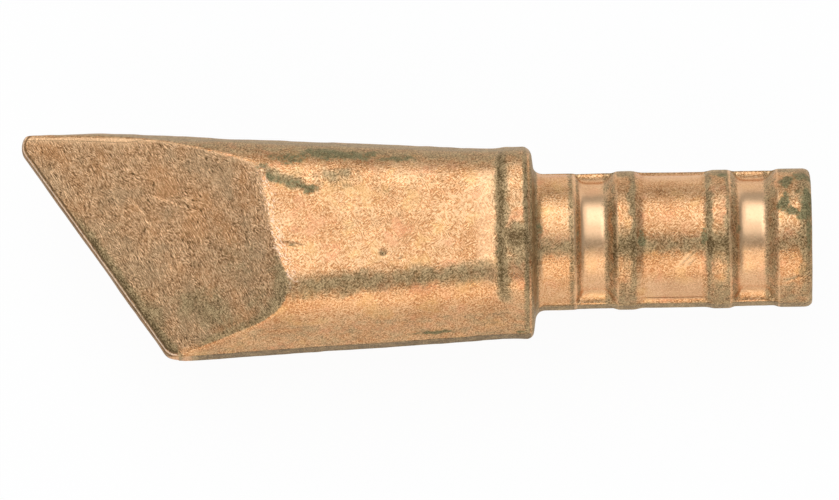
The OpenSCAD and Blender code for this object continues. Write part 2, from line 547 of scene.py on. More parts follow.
@dataclass
class Collar(SubAssembly):
    """The raised band at the back of the head, level with it on the side of the heel."""

    sections: ClassVar[tuple[Section, ...]] = (Section("collar", Slot.DULLED),)
    head: ChiselHead
    rise: float = 0.85
    foot: Span = (-0.8, 1.3)
    sweep: Span = (-4.4, -0.2)
    sweep_rise: float = 0.3
    brow: Span = (3.3, 4.3)
    lip: float = 0.4
    fade: Span = (math.radians(25.0), math.radians(68.0))
    tip_side_fade: Span = (math.radians(38.0), math.radians(72.0))
    tip_side_loss: float = 0.6
    rear_round: float = 0.9
    shoulder_draft: float = 0.12
    neck_radius: float = 9.5
    tarnish_and_shade: CollarFilmAndShade = CollarFilmAndShade()

    def swelling(self, points: np.ndarray) -> np.ndarray:
        """Work out how far the band stands out from the head.

        Args:
            points: Places, one per row.

        Returns:
            Heights above the head's own section.
        """
        x = points[:, 0] - self.at.collar
        climb = smoothstep(*self.foot, x) * (1.0 - (1.0 - self.lip) * smoothstep(*self.brow, x))
        lead = np.clip((x - self.sweep[0]) / (self.sweep[1] - self.sweep[0]), 0.0, 1.0) ** 2
        out, up = self.head.roll_centre(points)
        lean = np.arctan2(np.maximum(out, 0.0), np.maximum(up, TINY))
        heel_side = smoothstep(*self.fade, lean)
        tip_side = self.tip_side_loss * smoothstep(*self.tip_side_fade, lean)
        kept = 1.0 - np.where(points[:, 1] < 0.0, heel_side, tip_side)
        return (self.sweep_rise * lead * (1.0 - climb) + self.rise * climb) * kept

    def film(self, points: np.ndarray) -> np.ndarray:
        """Work out how much brown film and painted shade lie on the band's slopes and behind it, broken by a
        painted highlight line on its rear edge.

        Args:
            points: Points of the skin.

        Returns:
            Values from 0 to 1.
        """
        worn = self.tarnish_and_shade
        x = points[:, 0] - self.at.collar
        raised = np.clip(self.swelling(points) / self.rise * worn.raised_gain, 0.0, 1.0)
        # The front slope faces away from the lamps: painted dark reflection, with some tarnish.
        slope = bell(x, worn.slope_middle, worn.slope_width) * raised
        crest = smoothstep(*worn.crest_start, x) * smoothstep(*worn.crest_end, x) * raised
        # Behind the band, in the shoulder's corner: painted shade, with a painted highlight line on the rear
        # edge.
        behind = smoothstep(*worn.behind_start, x) * smoothstep(*worn.behind_end, x)
        behind = behind * (1.0 - worn.worn * bell(x, worn.highlight_line, worn.highlight_width))
        return np.maximum.reduce([worn.slope * slope, worn.crest * crest, worn.behind * behind])

    def burnish(self, points: np.ndarray, normals: np.ndarray) -> np.ndarray:
        """Work out the painted highlight on the foot in front of the band, where its hollow catches the
        lamps.

        Args:
            points: Points of the skin.
            normals: Outward directions there.

        Returns:
            Values from 0 to 1.
        """
        worn = self.tarnish_and_shade
        x = points[:, 0] - self.at.collar
        foot = smoothstep(*worn.shine_start, x) * smoothstep(*worn.shine_end, x)
        return worn.shine * foot * smoothstep(*worn.shine_lean, np.abs(normals[:, 2]))

    def close(self, values: np.ndarray, points: np.ndarray) -> np.ndarray:
        """End the head at the collar's rear face.

        Args:
            values: Values of the head.
            points: Places, one per row.

        Returns:
            Values of the head with its shoulder.
        """
        spoke = np.hypot(points[:, 1], points[:, 2])
        rear = points[:, 0] - self.at.neck + self.shoulder_draft * (spoke - self.neck_radius)
        return round_overlap(values, rear, self.rear_round)


@dataclass(frozen=True)
class ShankFilmAndShade:
    """How brown film and painted shade lie on the shank, and where it is bared under painted highlights.
    Leans are as on the head.
    """

    lead: float = 0.35
    wall: float = 0.6
    wall_rise: Span = (0.1, 0.8)
    wall_glint: float = 0.75
    top: float = 0.82
    top_heel_loss: float = 0.14
    top_heel_lean: Span = (0.3, 0.8)
    top_band: float = 0.3
    top_boss_loss: float = 0.1
    top_margins: Span = (0.12, 0.15)
    top_ahead: float = 1.0
    top_end: Span = (0.9, 0.5)
    bare: float = 0.54
    bare_edge: Span = (0.4, -0.3)
    bare_ragged: float = 0.45
    bare_short: float = 2.0
    bare_boss_gain: float = 0.7
    bare_lean: Span = (0.9, 0.72)
    bare_lean_ragged: float = 0.06
    bare_band_loss: float = 0.7
    bare_under_loss: float = 0.4
    under_lean: Span = (-0.35, -0.6)
    band: float = 0.66
    band_lean: float = -0.31
    band_width: float = 0.15
    above_waist: Span = (0.3, 0.8)
    land: float = 0.9
    land_edge: Span = (0.1, -0.15)
    land_lean: Span = (0.5, 0.8)
    flank: float = 0.12
    flank_lean: Span = (0.8, 0.95)
    flank_rise: Span = (0.15, 0.02)
    rear: float = 0.45
    rear_rim: float = 0.3
    rear_ragged: float = 0.12
    rear_limits: Span = (0.3, 0.85)
    rear_start: Span = (-0.9, -0.2)
    brink: float = 0.68
    brink_ahead: float = 0.45
    brink_width: float = 0.55
    waist_shine: Span = (0.75, 0.1)
    waist_heel_loss: float = 0.6
    waist_heel_lean: Span = (-0.1, -0.5)
    waist_tip_loss: float = 0.5
    waist_tip_lean: Span = (0.5, 0.75)
    barrel_shine: float = 0.5
    barrel_start: Span = (0.5, 1.1)
    barrel_lean: Span = (0.68, 0.88)


@dataclass
class RibbedShank(SubAssembly):
    """The round shank with its waists, ribs and end boss, and the lands along its die seam."""

    sections: ClassVar[tuple[Section, ...]] = (
        Section("neck", Slot.BRIGHT),
        Section("front_waist", Slot.BRIGHT),
        Section("front_rib", Slot.DULLED),
        Section("barrel", Slot.FORGED),
        Section("rear_rib", Slot.DULLED),
        Section("rear_waist", Slot.BRIGHT),
        Section("end_boss", Slot.DULLED),
    )
    neck_radius: float = 9.5
    neck_wall: float = 0.85
    rib_wall: float = 0.8
    wall_root: float = 0.55
    floor_sweep: float = 0.75
    floor_rise: float = 0.25
    rib_foot: float = 0.55
    boss_wall: float = 0.95
    profile_soft: float = 0.24
    end_round: float = 1.15
    land_half: float = 1.4
    land_proud: float = 0.2
    land_edge: float = 0.25
    land_fillet: float = 0.6
    waist_fillet: float = 1.5
    waist_depth: Span = (0.5, 0.1)
    barrel_seam: float = 2.0
    barrel_seam_inset: float = 0.7
    seam_step: float = 0.03
    seam_clearance: float = 0.1
    shoulder_fillet: float = 1.35
    glint_bend: Span = (0.5, 1.7)
    tarnish_and_shade: ShankFilmAndShade = ShankFilmAndShade()
    samples: int = 4000
    soft_reach: float = 3.0
    table_x: np.ndarray = field(init=False)
    table_radius: np.ndarray = field(init=False)

    def __post_init__(self) -> None:
        """Draw the turned profile and soften its corners as the dies do."""
        at = self.at
        foot = at.waist_radius + self.floor_rise
        stops = [
            (at.collar, self.neck_radius),
            (at.front_waist, self.neck_radius),
            (at.front_waist + self.neck_wall, foot),
            (at.front_waist + self.neck_wall + self.floor_sweep, at.waist_radius),
            (at.front_rib - self.wall_root - self.floor_sweep, at.waist_radius),
            (at.front_rib - self.wall_root, foot),
            (at.front_rib + self.rib_wall, at.rib_radius),
            (at.barrel - self.rib_wall, at.rib_radius),
            (at.barrel + self.rib_foot, at.barrel_radius),
            (at.rear_rib - self.rib_foot, at.barrel_radius),
            (at.rear_rib + self.rib_wall, at.rib_radius),
            (at.rear_waist - self.rib_wall, at.rib_radius),
            (at.rear_waist + self.wall_root, foot),
            (at.rear_waist + self.wall_root + self.floor_sweep, at.waist_radius),
            (at.end_boss - self.wall_root - self.floor_sweep, at.waist_radius),
            (at.end_boss - self.wall_root, foot),
            (at.end_boss + self.boss_wall, at.rib_radius),
            (at.end + at.rib_radius, at.rib_radius),
        ]
        places, radii = np.array(stops).T
        self.table_x = np.linspace(places[0], places[-1], self.samples)
        plain = np.interp(self.table_x, places, radii)
        pitch = self.table_x[1] - self.table_x[0]
        half = int(self.soft_reach * self.profile_soft / pitch)
        weights = bell(np.arange(-half, half + 1) * pitch, 0.0, math.sqrt(2.0) * self.profile_soft)
        padded = np.pad(plain, half, mode="edge")
        self.table_radius = np.convolve(padded, weights / weights.sum(), mode="valid")

    def radius(self, x: np.ndarray) -> np.ndarray:
        """Radius of the turned profile at places along the axis."""
        return np.interp(x, self.table_x, self.table_radius)

    def rise(self, x: np.ndarray) -> np.ndarray:
        """Slope of the turned profile at places along the axis."""
        return np.interp(x, self.table_x, np.gradient(self.table_radius, self.table_x))

    def glint(self, x: np.ndarray) -> np.ndarray:
        """How sharply the profile turns over at its outer corners, where a bright line is painted: painted
        highlight, partly rubbed metal.
        """
        bend = np.gradient(np.gradient(self.table_radius, self.table_x), self.table_x)
        return smoothstep(*self.glint_bend, -np.interp(x, self.table_x, bend))

    def bared_and_highlit_tops(
        self, x: np.ndarray, lean: np.ndarray, band: np.ndarray, ragged: np.ndarray
    ) -> np.ndarray:
        """Work out how far the tops of the ribs and the boss are bared: rubbed metal laid where the lamps'
        highlights fall, partly painted highlight, kept dark across the painted dark reflection band and
        underneath.

        Args:
            x: Places along the axis.
            lean: Sideways shares of the outward directions.
            band: Shares of the painted dark reflection band along the shank.
            ragged: A random swell that breaks up the edge.

        Returns:
            Values from 0 to 1.
        """
        at = self.at
        worn = self.tarnish_and_shade
        boss = (at.end_boss, at.end - self.end_round + worn.bare_boss_gain)
        aside = np.full(len(x), FAR)
        for start, end in ((at.front_rib, at.barrel), (at.rear_rib, at.rear_waist), boss):
            half = 0.5 * (end - start - worn.bare_short)
            aside = np.minimum(aside, np.abs(x - 0.5 * (start + end)) - half)
        bare = smoothstep(*worn.bare_edge, aside + worn.bare_ragged * ragged)
        bare = bare * smoothstep(*worn.bare_lean, np.abs(lean) + worn.bare_lean_ragged * ragged)
        under = smoothstep(*worn.under_lean, lean) * (x < at.rear_waist)
        return bare * (1.0 - worn.bare_band_loss * band) * (1.0 - worn.bare_under_loss * under)

    def film(self, points: np.ndarray, normals: np.ndarray, ragged: np.ndarray) -> np.ndarray:
        """How much brown film and painted shade lie on the ribs, the boss, the groove walls and the lands.

        Args:
            points: Points of the skin.
            normals: Outward directions there.
            ragged: A random swell that breaks it up.

        Returns:
            Values from 0 to 1.
        """
        at = self.at
        worn = self.tarnish_and_shade
        lean = normals[:, 1]
        x = points[:, 0] + worn.lead
        radius = self.radius(x)
        steep = np.abs(self.rise(x))
        # Steep groove walls darken: painted shade, with some tarnish.
        walls = worn.wall * smoothstep(*worn.wall_rise, steep)
        walls = walls * (1.0 - worn.wall_glint * self.glint(points[:, 0]))
        # A band where the skin leans a little to the front is darkened: painted dark reflection.
        band = bell(lean, worn.band_lean, worn.band_width)
        covered = worn.top - worn.top_heel_loss * smoothstep(*worn.top_heel_lean, -lean)
        covered = covered + np.where(x > at.rear_waist, -worn.top_boss_loss, worn.top_band * band)
        covered = covered - worn.bare * self.bared_and_highlit_tops(x, lean, band, ragged)
        foot, head = worn.top_margins
        raised = smoothstep(at.barrel_radius + foot, at.rib_radius - head, radius)
        tops = np.where(x > at.front_rib - worn.top_ahead, raised * covered, 0.0)
        tops = tops * smoothstep(*worn.top_end, normals[:, 0])
        above_waist = smoothstep(*worn.above_waist, radius - at.waist_radius)
        # Lands and flat flanks that face across are darkened: painted shade.
        land = worn.land * smoothstep(*worn.land_edge, np.abs(points[:, 2]) - self.land_half)
        land = land * smoothstep(*worn.land_lean, np.abs(lean))
        flank = smoothstep(*worn.flank_lean, np.abs(lean)) * smoothstep(*worn.flank_rise, steep)
        spoke = np.hypot(points[:, 1], points[:, 2]) / at.rib_radius
        rear = np.clip(worn.rear + worn.rear_rim * spoke**3 + worn.rear_ragged * ragged, *worn.rear_limits)
        rear = rear * smoothstep(*worn.rear_start, points[:, 0] - at.end)
        brink = worn.brink * bell(points[:, 0], at.front_waist - worn.brink_ahead, worn.brink_width)
        dark = np.maximum(worn.band * band, worn.flank * flank) * above_waist
        return np.clip(np.maximum.reduce([walls, tops, dark, land, rear, brink]), 0.0, 1.0)

    def burnish(self, points: np.ndarray, normals: np.ndarray) -> np.ndarray:
        """How bright the waists and the flanks of the barrel are made: polish, with painted highlight by
        which way the skin faces.

        Args:
            points: Points of the skin.
            normals: Outward directions there.

        Returns:
            Values from 0 to 1.
        """
        at = self.at
        worn = self.tarnish_and_shade
        x = points[:, 0]
        lean = normals[:, 1]
        spoke = np.hypot(points[:, 1], points[:, 2])
        floor = smoothstep(*worn.waist_shine, spoke - at.waist_radius)
        floor = floor * (1.0 - worn.waist_heel_loss * smoothstep(*worn.waist_heel_lean, lean))
        floor = floor * (1.0 - worn.waist_tip_loss * smoothstep(*worn.waist_tip_lean, lean))
        inset = np.minimum(x - at.barrel, at.rear_rib - x)
        flanks = smoothstep(*worn.barrel_start, inset) * smoothstep(*worn.barrel_lean, np.abs(lean))
        return np.maximum(floor, worn.barrel_shine * flanks)

    def seam_height(self, x: np.ndarray) -> np.ndarray:
        """Find the height of the fine die line beside the land.

        Args:
            x: Places along the axis.

        Returns:
            Heights, far off where the ribs and the boss hide the line.
        """
        inset = self.barrel_seam_inset
        on_barrel = (x > self.at.barrel + inset) & (x < self.at.rear_rib - inset)
        hidden = self.radius(x) > self.neck_radius + self.seam_clearance
        by_land = np.where(hidden, FAR, self.land_half + self.seam_step)
        return np.where(on_barrel, self.barrel_seam, by_land)

    def solid(self, points: np.ndarray) -> np.ndarray:
        """Draw the shank, with its lands, out to its rear end face.

        Args:
            points: Places, one per row.

        Returns:
            Values that are negative inside.
        """
        radius = self.radius(points[:, 0])
        turned = np.hypot(points[:, 1], points[:, 2]) - radius
        slab = round_overlap(
            np.abs(points[:, 1]) - self.at.land_reach - self.land_proud,
            np.abs(points[:, 2]) - self.land_half,
            self.land_edge,
        )
        deep = smoothstep(*self.waist_depth, radius - self.at.waist_radius)
        fillet = self.land_fillet + (self.waist_fillet - self.land_fillet) * deep
        whole = round_union(turned, slab, fillet)
        return round_overlap(whole, points[:, 0] - self.at.end, self.end_round)


@dataclass(frozen=True)
class Dent:
    """A small mark struck into the upper skin, or the lower one."""

    x: float
    y: float
    length: float
    width: float
    depth: float
    turn: float = 0.0
    face: float = 1.0
    # Shine paints a highlight on the mark.
    shine: float = 0.0

    def at(self, points: np.ndarray) -> np.ndarray:
        """Read the depth of the mark.

        Args:
            points: Places, one per row.

        Returns:
            Depths, 0 on the other side of the bit.
        """
        along, across = turned_from(points, self.x, self.y, self.turn)
        depth = self.depth * bell(along, 0.0, self.length) * bell(across, 0.0, self.width)
        return np.where(self.face * points[:, 2] > 0.0, depth, 0.0)


@dataclass(frozen=True)
class Stain:
    """A discoloured patch: an oval on the skin with a soft, ragged edge, or a ring."""

    mask: Mask
    x: float
    y: float
    z: float
    length: float
    width: float
    strength: float
    turn: float = 0.0
    hollow: float = 0.0
    film_edge: ClassVar[Span] = (1.45, 0.15)
    film_ragged: ClassVar[float] = 0.24
    green_edge: ClassVar[Span] = (1.25, 0.35)
    green_ragged: ClassVar[float] = 0.45
    ring_ragged: ClassVar[float] = 0.2

    def at(self, points: np.ndarray, ragged: np.ndarray) -> np.ndarray:
        """Strength of the patch at each place.

        Args:
            points: Places, one per row.
            ragged: A random swell that breaks up the edge.

        Returns:
            Values from 0 to the patch's strength.
        """
        along, across = turned_from(points, self.x, self.y, self.turn)
        across = np.hypot(across, points[:, 2] - self.z)
        reach = np.hypot(along / self.length, across / self.width)
        if self.mask is Mask.FILM:
            patch = smoothstep(*self.film_edge, reach + self.film_ragged * ragged)
        else:
            patch = smoothstep(*self.green_edge, reach + self.green_ragged * ragged)
        if self.hollow:
            patch = patch * smoothstep(0.0, self.hollow, reach + self.ring_ragged * ragged)
        return self.strength * patch


@dataclass
class Forging:
    """The whole bit as one implicit solid, with the marks of forging, filing and use."""

    at: Stations
    head: ChiselHead
    collar: Collar
    shank: RibbedShank
    dents: tuple[Dent, ...]
    stains: tuple[Stain, ...]
    swell: tuple[tuple[Ripple, float], ...] = (
        (Ripple(3, 9.0), 0.10),
        (Ripple(5, 3.6), 0.045),
        (Ripple(7, 1.5), 0.03),
    )
    shank_calm: float = 0.45
    calm_run: Span = (-1.0, 1.0)
    raggedness: tuple[tuple[Ripple, float], ...] = ((Ripple(11, 2.2), 1.0), (Ripple(13, 0.9), 0.6))
    shank_start: Span = (-0.2, 0.6)
    land_reach: Span = (4.2, 2.6)
    seam_lean: Span = (0.75, 0.5)
    seam_away: float = 2.0
    glint: float = 0.6
    glint_rise: Span = (0.2, 0.6)
    crest_kept: float = 0.66
    crest_ragged: float = 0.5
    crest_least: float = 0.15
    hollow_reaches: Span = (0.6, 1.5)
    bulge_reaches: Span = (0.5, 1.0)
    step: float = 0.02

    @property
    def assemblies(self) -> tuple[SubAssembly, ...]:
        """The sub-assemblies from the tip to the rear."""
        return self.head, self.collar, self.shank

    @property
    def sections(self) -> list[Section]:
        """All the sections from the tip to the rear."""
        return [section for assembly in self.assemblies for section in assembly.sections]

    def plain(self, points: np.ndarray) -> np.ndarray:
        """Draw the bit with smooth faces.

        Args:
            points: Places, one per row.

        Returns:
            Values that are negative inside.
        """
        head = self.head.solid(points, self.collar.swelling(points))
        head = self.collar.close(head, points)
        shank = np.maximum(self.shank.solid(points), self.at.collar - points[:, 0])
        return round_union(head, shank, self.shank.shoulder_fillet)

    def worn(self, points: np.ndarray) -> np.ndarray:
        """Draw the bit with its swells and dents.

        Args:
            points: Places, one per row.

        Returns:
            Values that are negative inside.
        """
        calm = 1.0 - (1.0 - self.shank_calm) * smoothstep(*self.calm_run, points[:, 0] - self.at.neck)
        relief = sum(depth * ripple.at(points) for ripple, depth in self.swell)
        marks = sum(dent.at(points) for dent in self.dents)
        return self.plain(points) + relief * calm + marks

    def slope(self, points: np.ndarray, values: Field) -> np.ndarray:
        """Find the direction and rate of the steepest rise of a field.

        Args:
            points: Places, one per row.
            values: The field.

        Returns:
            One direction per row, as long as its rate.
        """
        rise = np.empty_like(points)
        for axis in range(3):
            nudge = np.zeros(3)
            nudge[axis] = self.step
            rise[:, axis] = (values(points + nudge) - values(points - nudge)) / (2.0 * self.step)
        return rise

    def settle(self, points: np.ndarray, rounds: int = 3) -> np.ndarray:
        """Move points onto the worn surface.

        Args:
            points: Places near it, one per row.
            rounds: How often they are moved.

        Returns:
            Moved points.
        """
        for _ in range(rounds):
            rise = self.slope(points, self.plain)
            rate = np.maximum((rise**2).sum(1), TINY)
            points = points - rise * (self.worn(points) / rate)[:, None]
        return points

    def masks(self, points: np.ndarray, normals: np.ndarray) -> dict[Mask, np.ndarray]:
        """Work out what the finishes read at each point.

        Args:
            points: Points of the skin.
            normals: Outward directions there.

        Returns:
            One array per mask.
        """
        def hollow(reach: float) -> np.ndarray:
            """How far the skin closes in around each point, from 0 on a flat to 1 in a deep corner."""
            return np.clip(1.0 - self.plain(points + normals * reach) / reach, 0.0, 1.0)

        def bulge(reach: float) -> np.ndarray:
            """How far the skin falls away around each point, from 0 on a flat to 1 on a sharp edge."""
            return np.clip(1.0 + self.plain(points - normals * reach) / reach, 0.0, 1.0)

        x = points[:, 0]
        ragged = sum(share * ripple.at(points) for ripple, share in self.raggedness)
        on_shank = smoothstep(*self.shank_start, x - self.at.neck)
        by_shank = on_shank > 0.5
        spread = {Mask.FILM: np.zeros(len(points)), Mask.VERDIGRIS: np.zeros(len(points))}
        for stain in self.stains:
            spread[stain.mask] = np.maximum(spread[stain.mask], stain.at(points, ragged))
        head_film = self.head.film(points, normals, ragged)
        film = np.where(by_shank, self.shank.film(points, normals, ragged), head_film)
        film = np.maximum(film, self.collar.film(points))
        foot = self.collar.burnish(points, normals)
        rubbed = np.where(by_shank, self.shank.burnish(points, normals), foot)
        by_land = on_shank * smoothstep(*self.land_reach, np.abs(points[:, 2]))
        height = np.where(by_shank, self.shank.seam_height(x), self.head.seam_height)
        off_side = smoothstep(*self.seam_lean, np.abs(normals[:, 1]))
        # Painted highlight lines along the shank's outer corners, broken up.
        above_waist = smoothstep(*self.glint_rise, self.shank.radius(x) - self.at.waist_radius)
        glint = self.glint * on_shank * self.shank.glint(x) * above_waist
        kept = np.clip(self.crest_kept + self.crest_ragged * ragged, self.crest_least, 1.0)
        broken = 1.0 - on_shank * (1.0 - kept)
        shine = sum(dent.shine * dent.at(points) for dent in self.dents)
        corners = np.mean([hollow(reach) for reach in self.hollow_reaches], axis=0)
        edges = np.mean([bulge(reach) for reach in self.bulge_reaches], axis=0)
        forged = self.head.section(points) - self.collar.swelling(points)
        return {
            Mask.GROUND: self.head.ground_faces(points) - forged,
            Mask.RIM_GAP: self.head.rim_gap(points),
            Mask.EDGE_GAP: -self.head.edge_outline(points),
            Mask.SEAM_GAP: np.abs(np.abs(points[:, 2]) - height) + self.seam_away * off_side,
            Mask.CREVICE: corners * (1.0 - by_land),
            Mask.CREST: np.maximum(edges, glint) * broken + shine,
            Mask.BURNISH: rubbed,
            Mask.FILM: np.maximum(spread[Mask.FILM], film),
            Mask.VERDIGRIS: spread[Mask.VERDIGRIS],
        }


@dataclass
class SkinNet:
    """Meshes an implicit solid with even quads that follow its surface."""

    pitch: float
    low: np.ndarray
    high: np.ndarray
    slab: int = 48

    def sample(self, values: Field) -> np.ndarray:
        """Read the field on the grid, a few layers at a time.

        Args:
            values: The field.

        Returns:
            Its values on the grid.
        """
        axes = [np.arange(low, high + self.pitch, self.pitch) for low, high in zip(self.low, self.high)]
        shape = tuple(len(axis) for axis in axes)
        grid = np.empty(shape, np.float32)
        for start in range(0, shape[0], self.slab):
            block = np.meshgrid(axes[0][start:start + self.slab], *axes[1:], indexing="ij")
            points = np.stack([part.ravel() for part in block], axis=1)
            grid[start:start + self.slab] = values(points).reshape(block[0].shape)
        return grid

    def extract(self, values: Field) -> tuple[np.ndarray, np.ndarray]:
        """Draw one point in each cell that the surface crosses, and one quad across each crossed edge.

        Args:
            values: The implicit solid.

        Returns:
            Points, and quads as rows of four point numbers, wound to face outward.
        """
        grid = self.sample(values)
        inside = grid < 0.0
        size = np.array(grid.shape) - 1
        corners = list(np.ndindex(2, 2, 2))

        def corner_view(array: np.ndarray, corner: tuple[int, ...]) -> np.ndarray:
            """The grid shifted so that a cell's corner stands at the cell's own number."""
            return array[tuple(slice(c, c + n) for c, n in zip(corner, size))]

        count = sum(corner_view(inside, corner).astype(np.int8) for corner in corners)
        cells = np.argwhere((count > 0) & (count < len(corners)))
        number = np.full(tuple(size), -1, np.int64)
        number[tuple(cells.T)] = np.arange(len(cells))
        total = np.zeros((len(cells), 3))
        hits = np.zeros(len(cells))
        for corner in corners:
            for axis in range(3):
                if corner[axis]:
                    continue
                other = np.array(corner)
                other[axis] = 1
                here = grid[tuple((cells + corner).T)].astype(float)
                there = grid[tuple((cells + other).T)].astype(float)
                crossed = (here < 0.0) != (there < 0.0)
                share = np.where(crossed, here / np.where(crossed, here - there, 1.0), 0.0)
                place = np.array(corner) + share[:, None] * (other - corner)
                total += np.where(crossed[:, None], place, 0.0)
                hits += crossed
        points = self.low + (cells + total / hits[:, None]) * self.pitch
        return points, self.quads(inside, number)

    @staticmethod
    def quads(inside: np.ndarray, number: np.ndarray) -> np.ndarray:
        """Join the four cells around each grid edge that the surface crosses.

        Args:
            inside: Whether each grid point is inside the solid.
            number: The point number of each cell.

        Returns:
            Rows of four point numbers, wound to face outward.
        """
        found = []
        for axis in range(3):
            second, third = (axis + 1) % 3, (axis + 2) % 3
            near = [slice(1, -1)] * 3
            far = [slice(1, -1)] * 3
            near[axis] = slice(0, -1)
            far[axis] = slice(1, None)
            leaves = inside[tuple(near)] & ~inside[tuple(far)]
            enters = ~inside[tuple(near)] & inside[tuple(far)]
            for crossed, turn in ((leaves, (0, 1, 2, 3)), (enters, (3, 2, 1, 0))):
                edge = np.argwhere(crossed)
                edge[:, second] += 1
                edge[:, third] += 1
                ring = []
                for step_second, step_third in ((-1, -1), (0, -1), (0, 0), (-1, 0)):
                    cell = edge.copy()
                    cell[:, second] += step_second
                    cell[:, third] += step_third
                    ring.append(number[tuple(cell.T)])
                found.append(np.stack([ring[i] for i in turn], axis=1))
        return np.concatenate(found)


def relax(points: np.ndarray, quads: np.ndarray, share: float = 0.5) -> np.ndarray:
    """Draw each point part of the way to the middle of its neighbours, to even out the quads.

    Args:
        points: Points of the mesh.
        quads: Rows of four point numbers.
        share: How far the points go.

    Returns:
        Moved points.
    """
    size = len(points)
    start = quads.ravel()
    end = np.roll(quads, -1, axis=1).ravel()
    count = np.bincount(start, minlength=size) + np.bincount(end, minlength=size)
    middle = np.empty_like(points)
    for axis in range(3):
        places = points[:, axis]
        total = np.bincount(start, places[end], size) + np.bincount(end, places[start], size)
        middle[:, axis] = total / count
    return points + share * (middle - points)


@dataclass
class Skin:
    """The meshed forging, cut along the planes between its sections."""

    forging: Forging
    pitch: float = 0.24
    margin: float = 1.4
    relax_rounds: int = 3
    weld: float = 1e-4
    points: np.ndarray = field(init=False)
    normals: np.ndarray = field(init=False)
    corners: np.ndarray = field(init=False)
    starts: np.ndarray = field(init=False)
    totals: np.ndarray = field(init=False)
    section_of: np.ndarray = field(init=False)
    masks: dict[Mask, np.ndarray] = field(init=False)

    def __post_init__(self) -> None:
        """Mesh the forging, cut it, and read its directions and masks."""
        low, high = (np.array(corner) / MM for corner in CAD_BOX)
        net = SkinNet(self.pitch, low - self.margin, high + self.margin)
        points, quads = net.extract(self.forging.plain)
        for _ in range(self.relax_rounds):
            points = self.forging.settle(relax(points, quads), 1)
        self.cut(self.forging.settle(points), quads)
        rise = self.forging.slope(self.points, self.forging.worn)
        self.normals = rise / np.linalg.norm(rise, axis=1)[:, None]
        self.masks = self.forging.masks(self.points, self.normals)

    def planes(self) -> list[tuple[np.ndarray, np.ndarray]]:
        """Find the planes between the sections.

        Returns:
            A point and the direction of each plane, from the tip to the rear.
        """
        at = self.forging.at
        head = self.forging.head
        split_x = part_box("head_block")[0].x / MM
        slanted = (np.array([split_x, head.half_width(split_x), 0.0]), np.array([*head.into_head, 0.0]))
        front = (at.collar, at.neck, at.front_waist, at.front_rib)
        rear = (at.barrel, at.rear_rib, at.rear_waist, at.end_boss)
        along = np.array([1.0, 0.0, 0.0])
        return [slanted, *((along * x, along) for x in (*front, *rear))]

    def cut(self, points: np.ndarray, quads: np.ndarray) -> None:
        """Split the faces that cross a plane between two sections, and note the section of each face.

        Args:
            points: Points of the whole skin.
            quads: Rows of four point numbers.
        """
        shell = bpy.data.meshes.new("shell")
        fill_mesh(shell, points, quads.ravel(), np.full(len(quads), quads.shape[1]))
        work = bmesh.new()
        work.from_mesh(shell)
        for place, normal in self.planes():
            everything = work.verts[:] + work.edges[:] + work.faces[:]
            bmesh.ops.bisect_plane(work, geom=everything, dist=self.weld, plane_co=place, plane_no=normal)
        work.to_mesh(shell)
        work.free()
        flat = np.empty(len(shell.vertices) * 3, np.float32)
        shell.vertices.foreach_get("co", flat)
        self.points = flat.reshape(-1, 3).astype(float)
        self.corners = np.empty(len(shell.loops), np.int32)
        shell.loops.foreach_get("vertex_index", self.corners)
        self.starts = np.empty(len(shell.polygons), np.int32)
        self.totals = np.empty(len(shell.polygons), np.int32)
        shell.polygons.foreach_get("loop_start", self.starts)
        shell.polygons.foreach_get("loop_total", self.totals)
        bpy.data.meshes.remove(shell)
        middle = np.add.reduceat(self.points[self.corners], self.starts) / self.totals[:, None]
        beyond = [(middle - place) @ normal > 0.0 for place, normal in self.planes()]
        self.section_of = np.sum(beyond, axis=0)

    @staticmethod
    def rims(faces: np.ndarray, totals: np.ndarray) -> list[np.ndarray]:
        """Follow the open edges of a set of faces.

        Args:
            faces: Point numbers of all the faces, one face after another.
            totals: Number of points of each face.

        Returns:
            Rings of point numbers, wound to close the faces.
        """
        ends = np.cumsum(totals)
        onward = np.arange(1, len(faces) + 1)
        onward[ends - 1] = ends - totals
        start, end = faces, faces[onward]
        span = int(faces.max()) + 1
        lone = ~np.isin(start * span + end, end * span + start)
        follow = dict(zip(end[lone].tolist(), start[lone].tolist()))
        rings = []
        while follow:
            first = next(iter(follow))
            ring = [first]
            step = follow.pop(first)
            while step != first:
                ring.append(step)
                step = follow.pop(step)
            rings.append(np.array(ring))
        return rings

    def piece(self, section: Section) -> bpy.types.Object:
        """Make the closed piece of one section.

        Args:
            section: The section.

        Returns:
            The piece, in the scene.
        """
        chosen = np.flatnonzero(self.section_of == self.forging.sections.index(section))
        totals = self.totals[chosen].astype(np.int64)
        first = np.cumsum(totals) - totals
        picks = np.repeat(self.starts[chosen] - first, totals) + np.arange(totals.sum())
        used, faces = np.unique(self.corners[picks], return_inverse=True)
        faces = faces.astype(np.int64)
        points = self.points[used]
        directions = [self.normals[used][faces]]
        rings = self.rims(faces, totals)
        for ring in rings:
            edge = points[ring]
            across = np.cross(edge, np.roll(edge, -1, axis=0)).sum(axis=0)
            directions.append(np.tile(across / np.linalg.norm(across), (len(ring), 1)))
        mesh = bpy.data.meshes.new(section.piece)
        all_totals = np.concatenate([totals, [len(ring) for ring in rings]]).astype(int)
        fill_mesh(mesh, points * MM, np.concatenate([faces, *rings]), all_totals)
        mesh.polygons.foreach_set("use_smooth", np.ones(len(all_totals), bool))
        mesh.normals_split_custom_set(np.concatenate(directions).tolist())
        for mask, values in self.masks.items():
            layer = mesh.attributes.new(mask.value, "FLOAT", "POINT")
            layer.data.foreach_set("value", values[used].astype(np.float32))
        piece = bpy.data.objects.new(section.piece, mesh)
        bpy.context.scene.collection.objects.link(piece)
        return piece


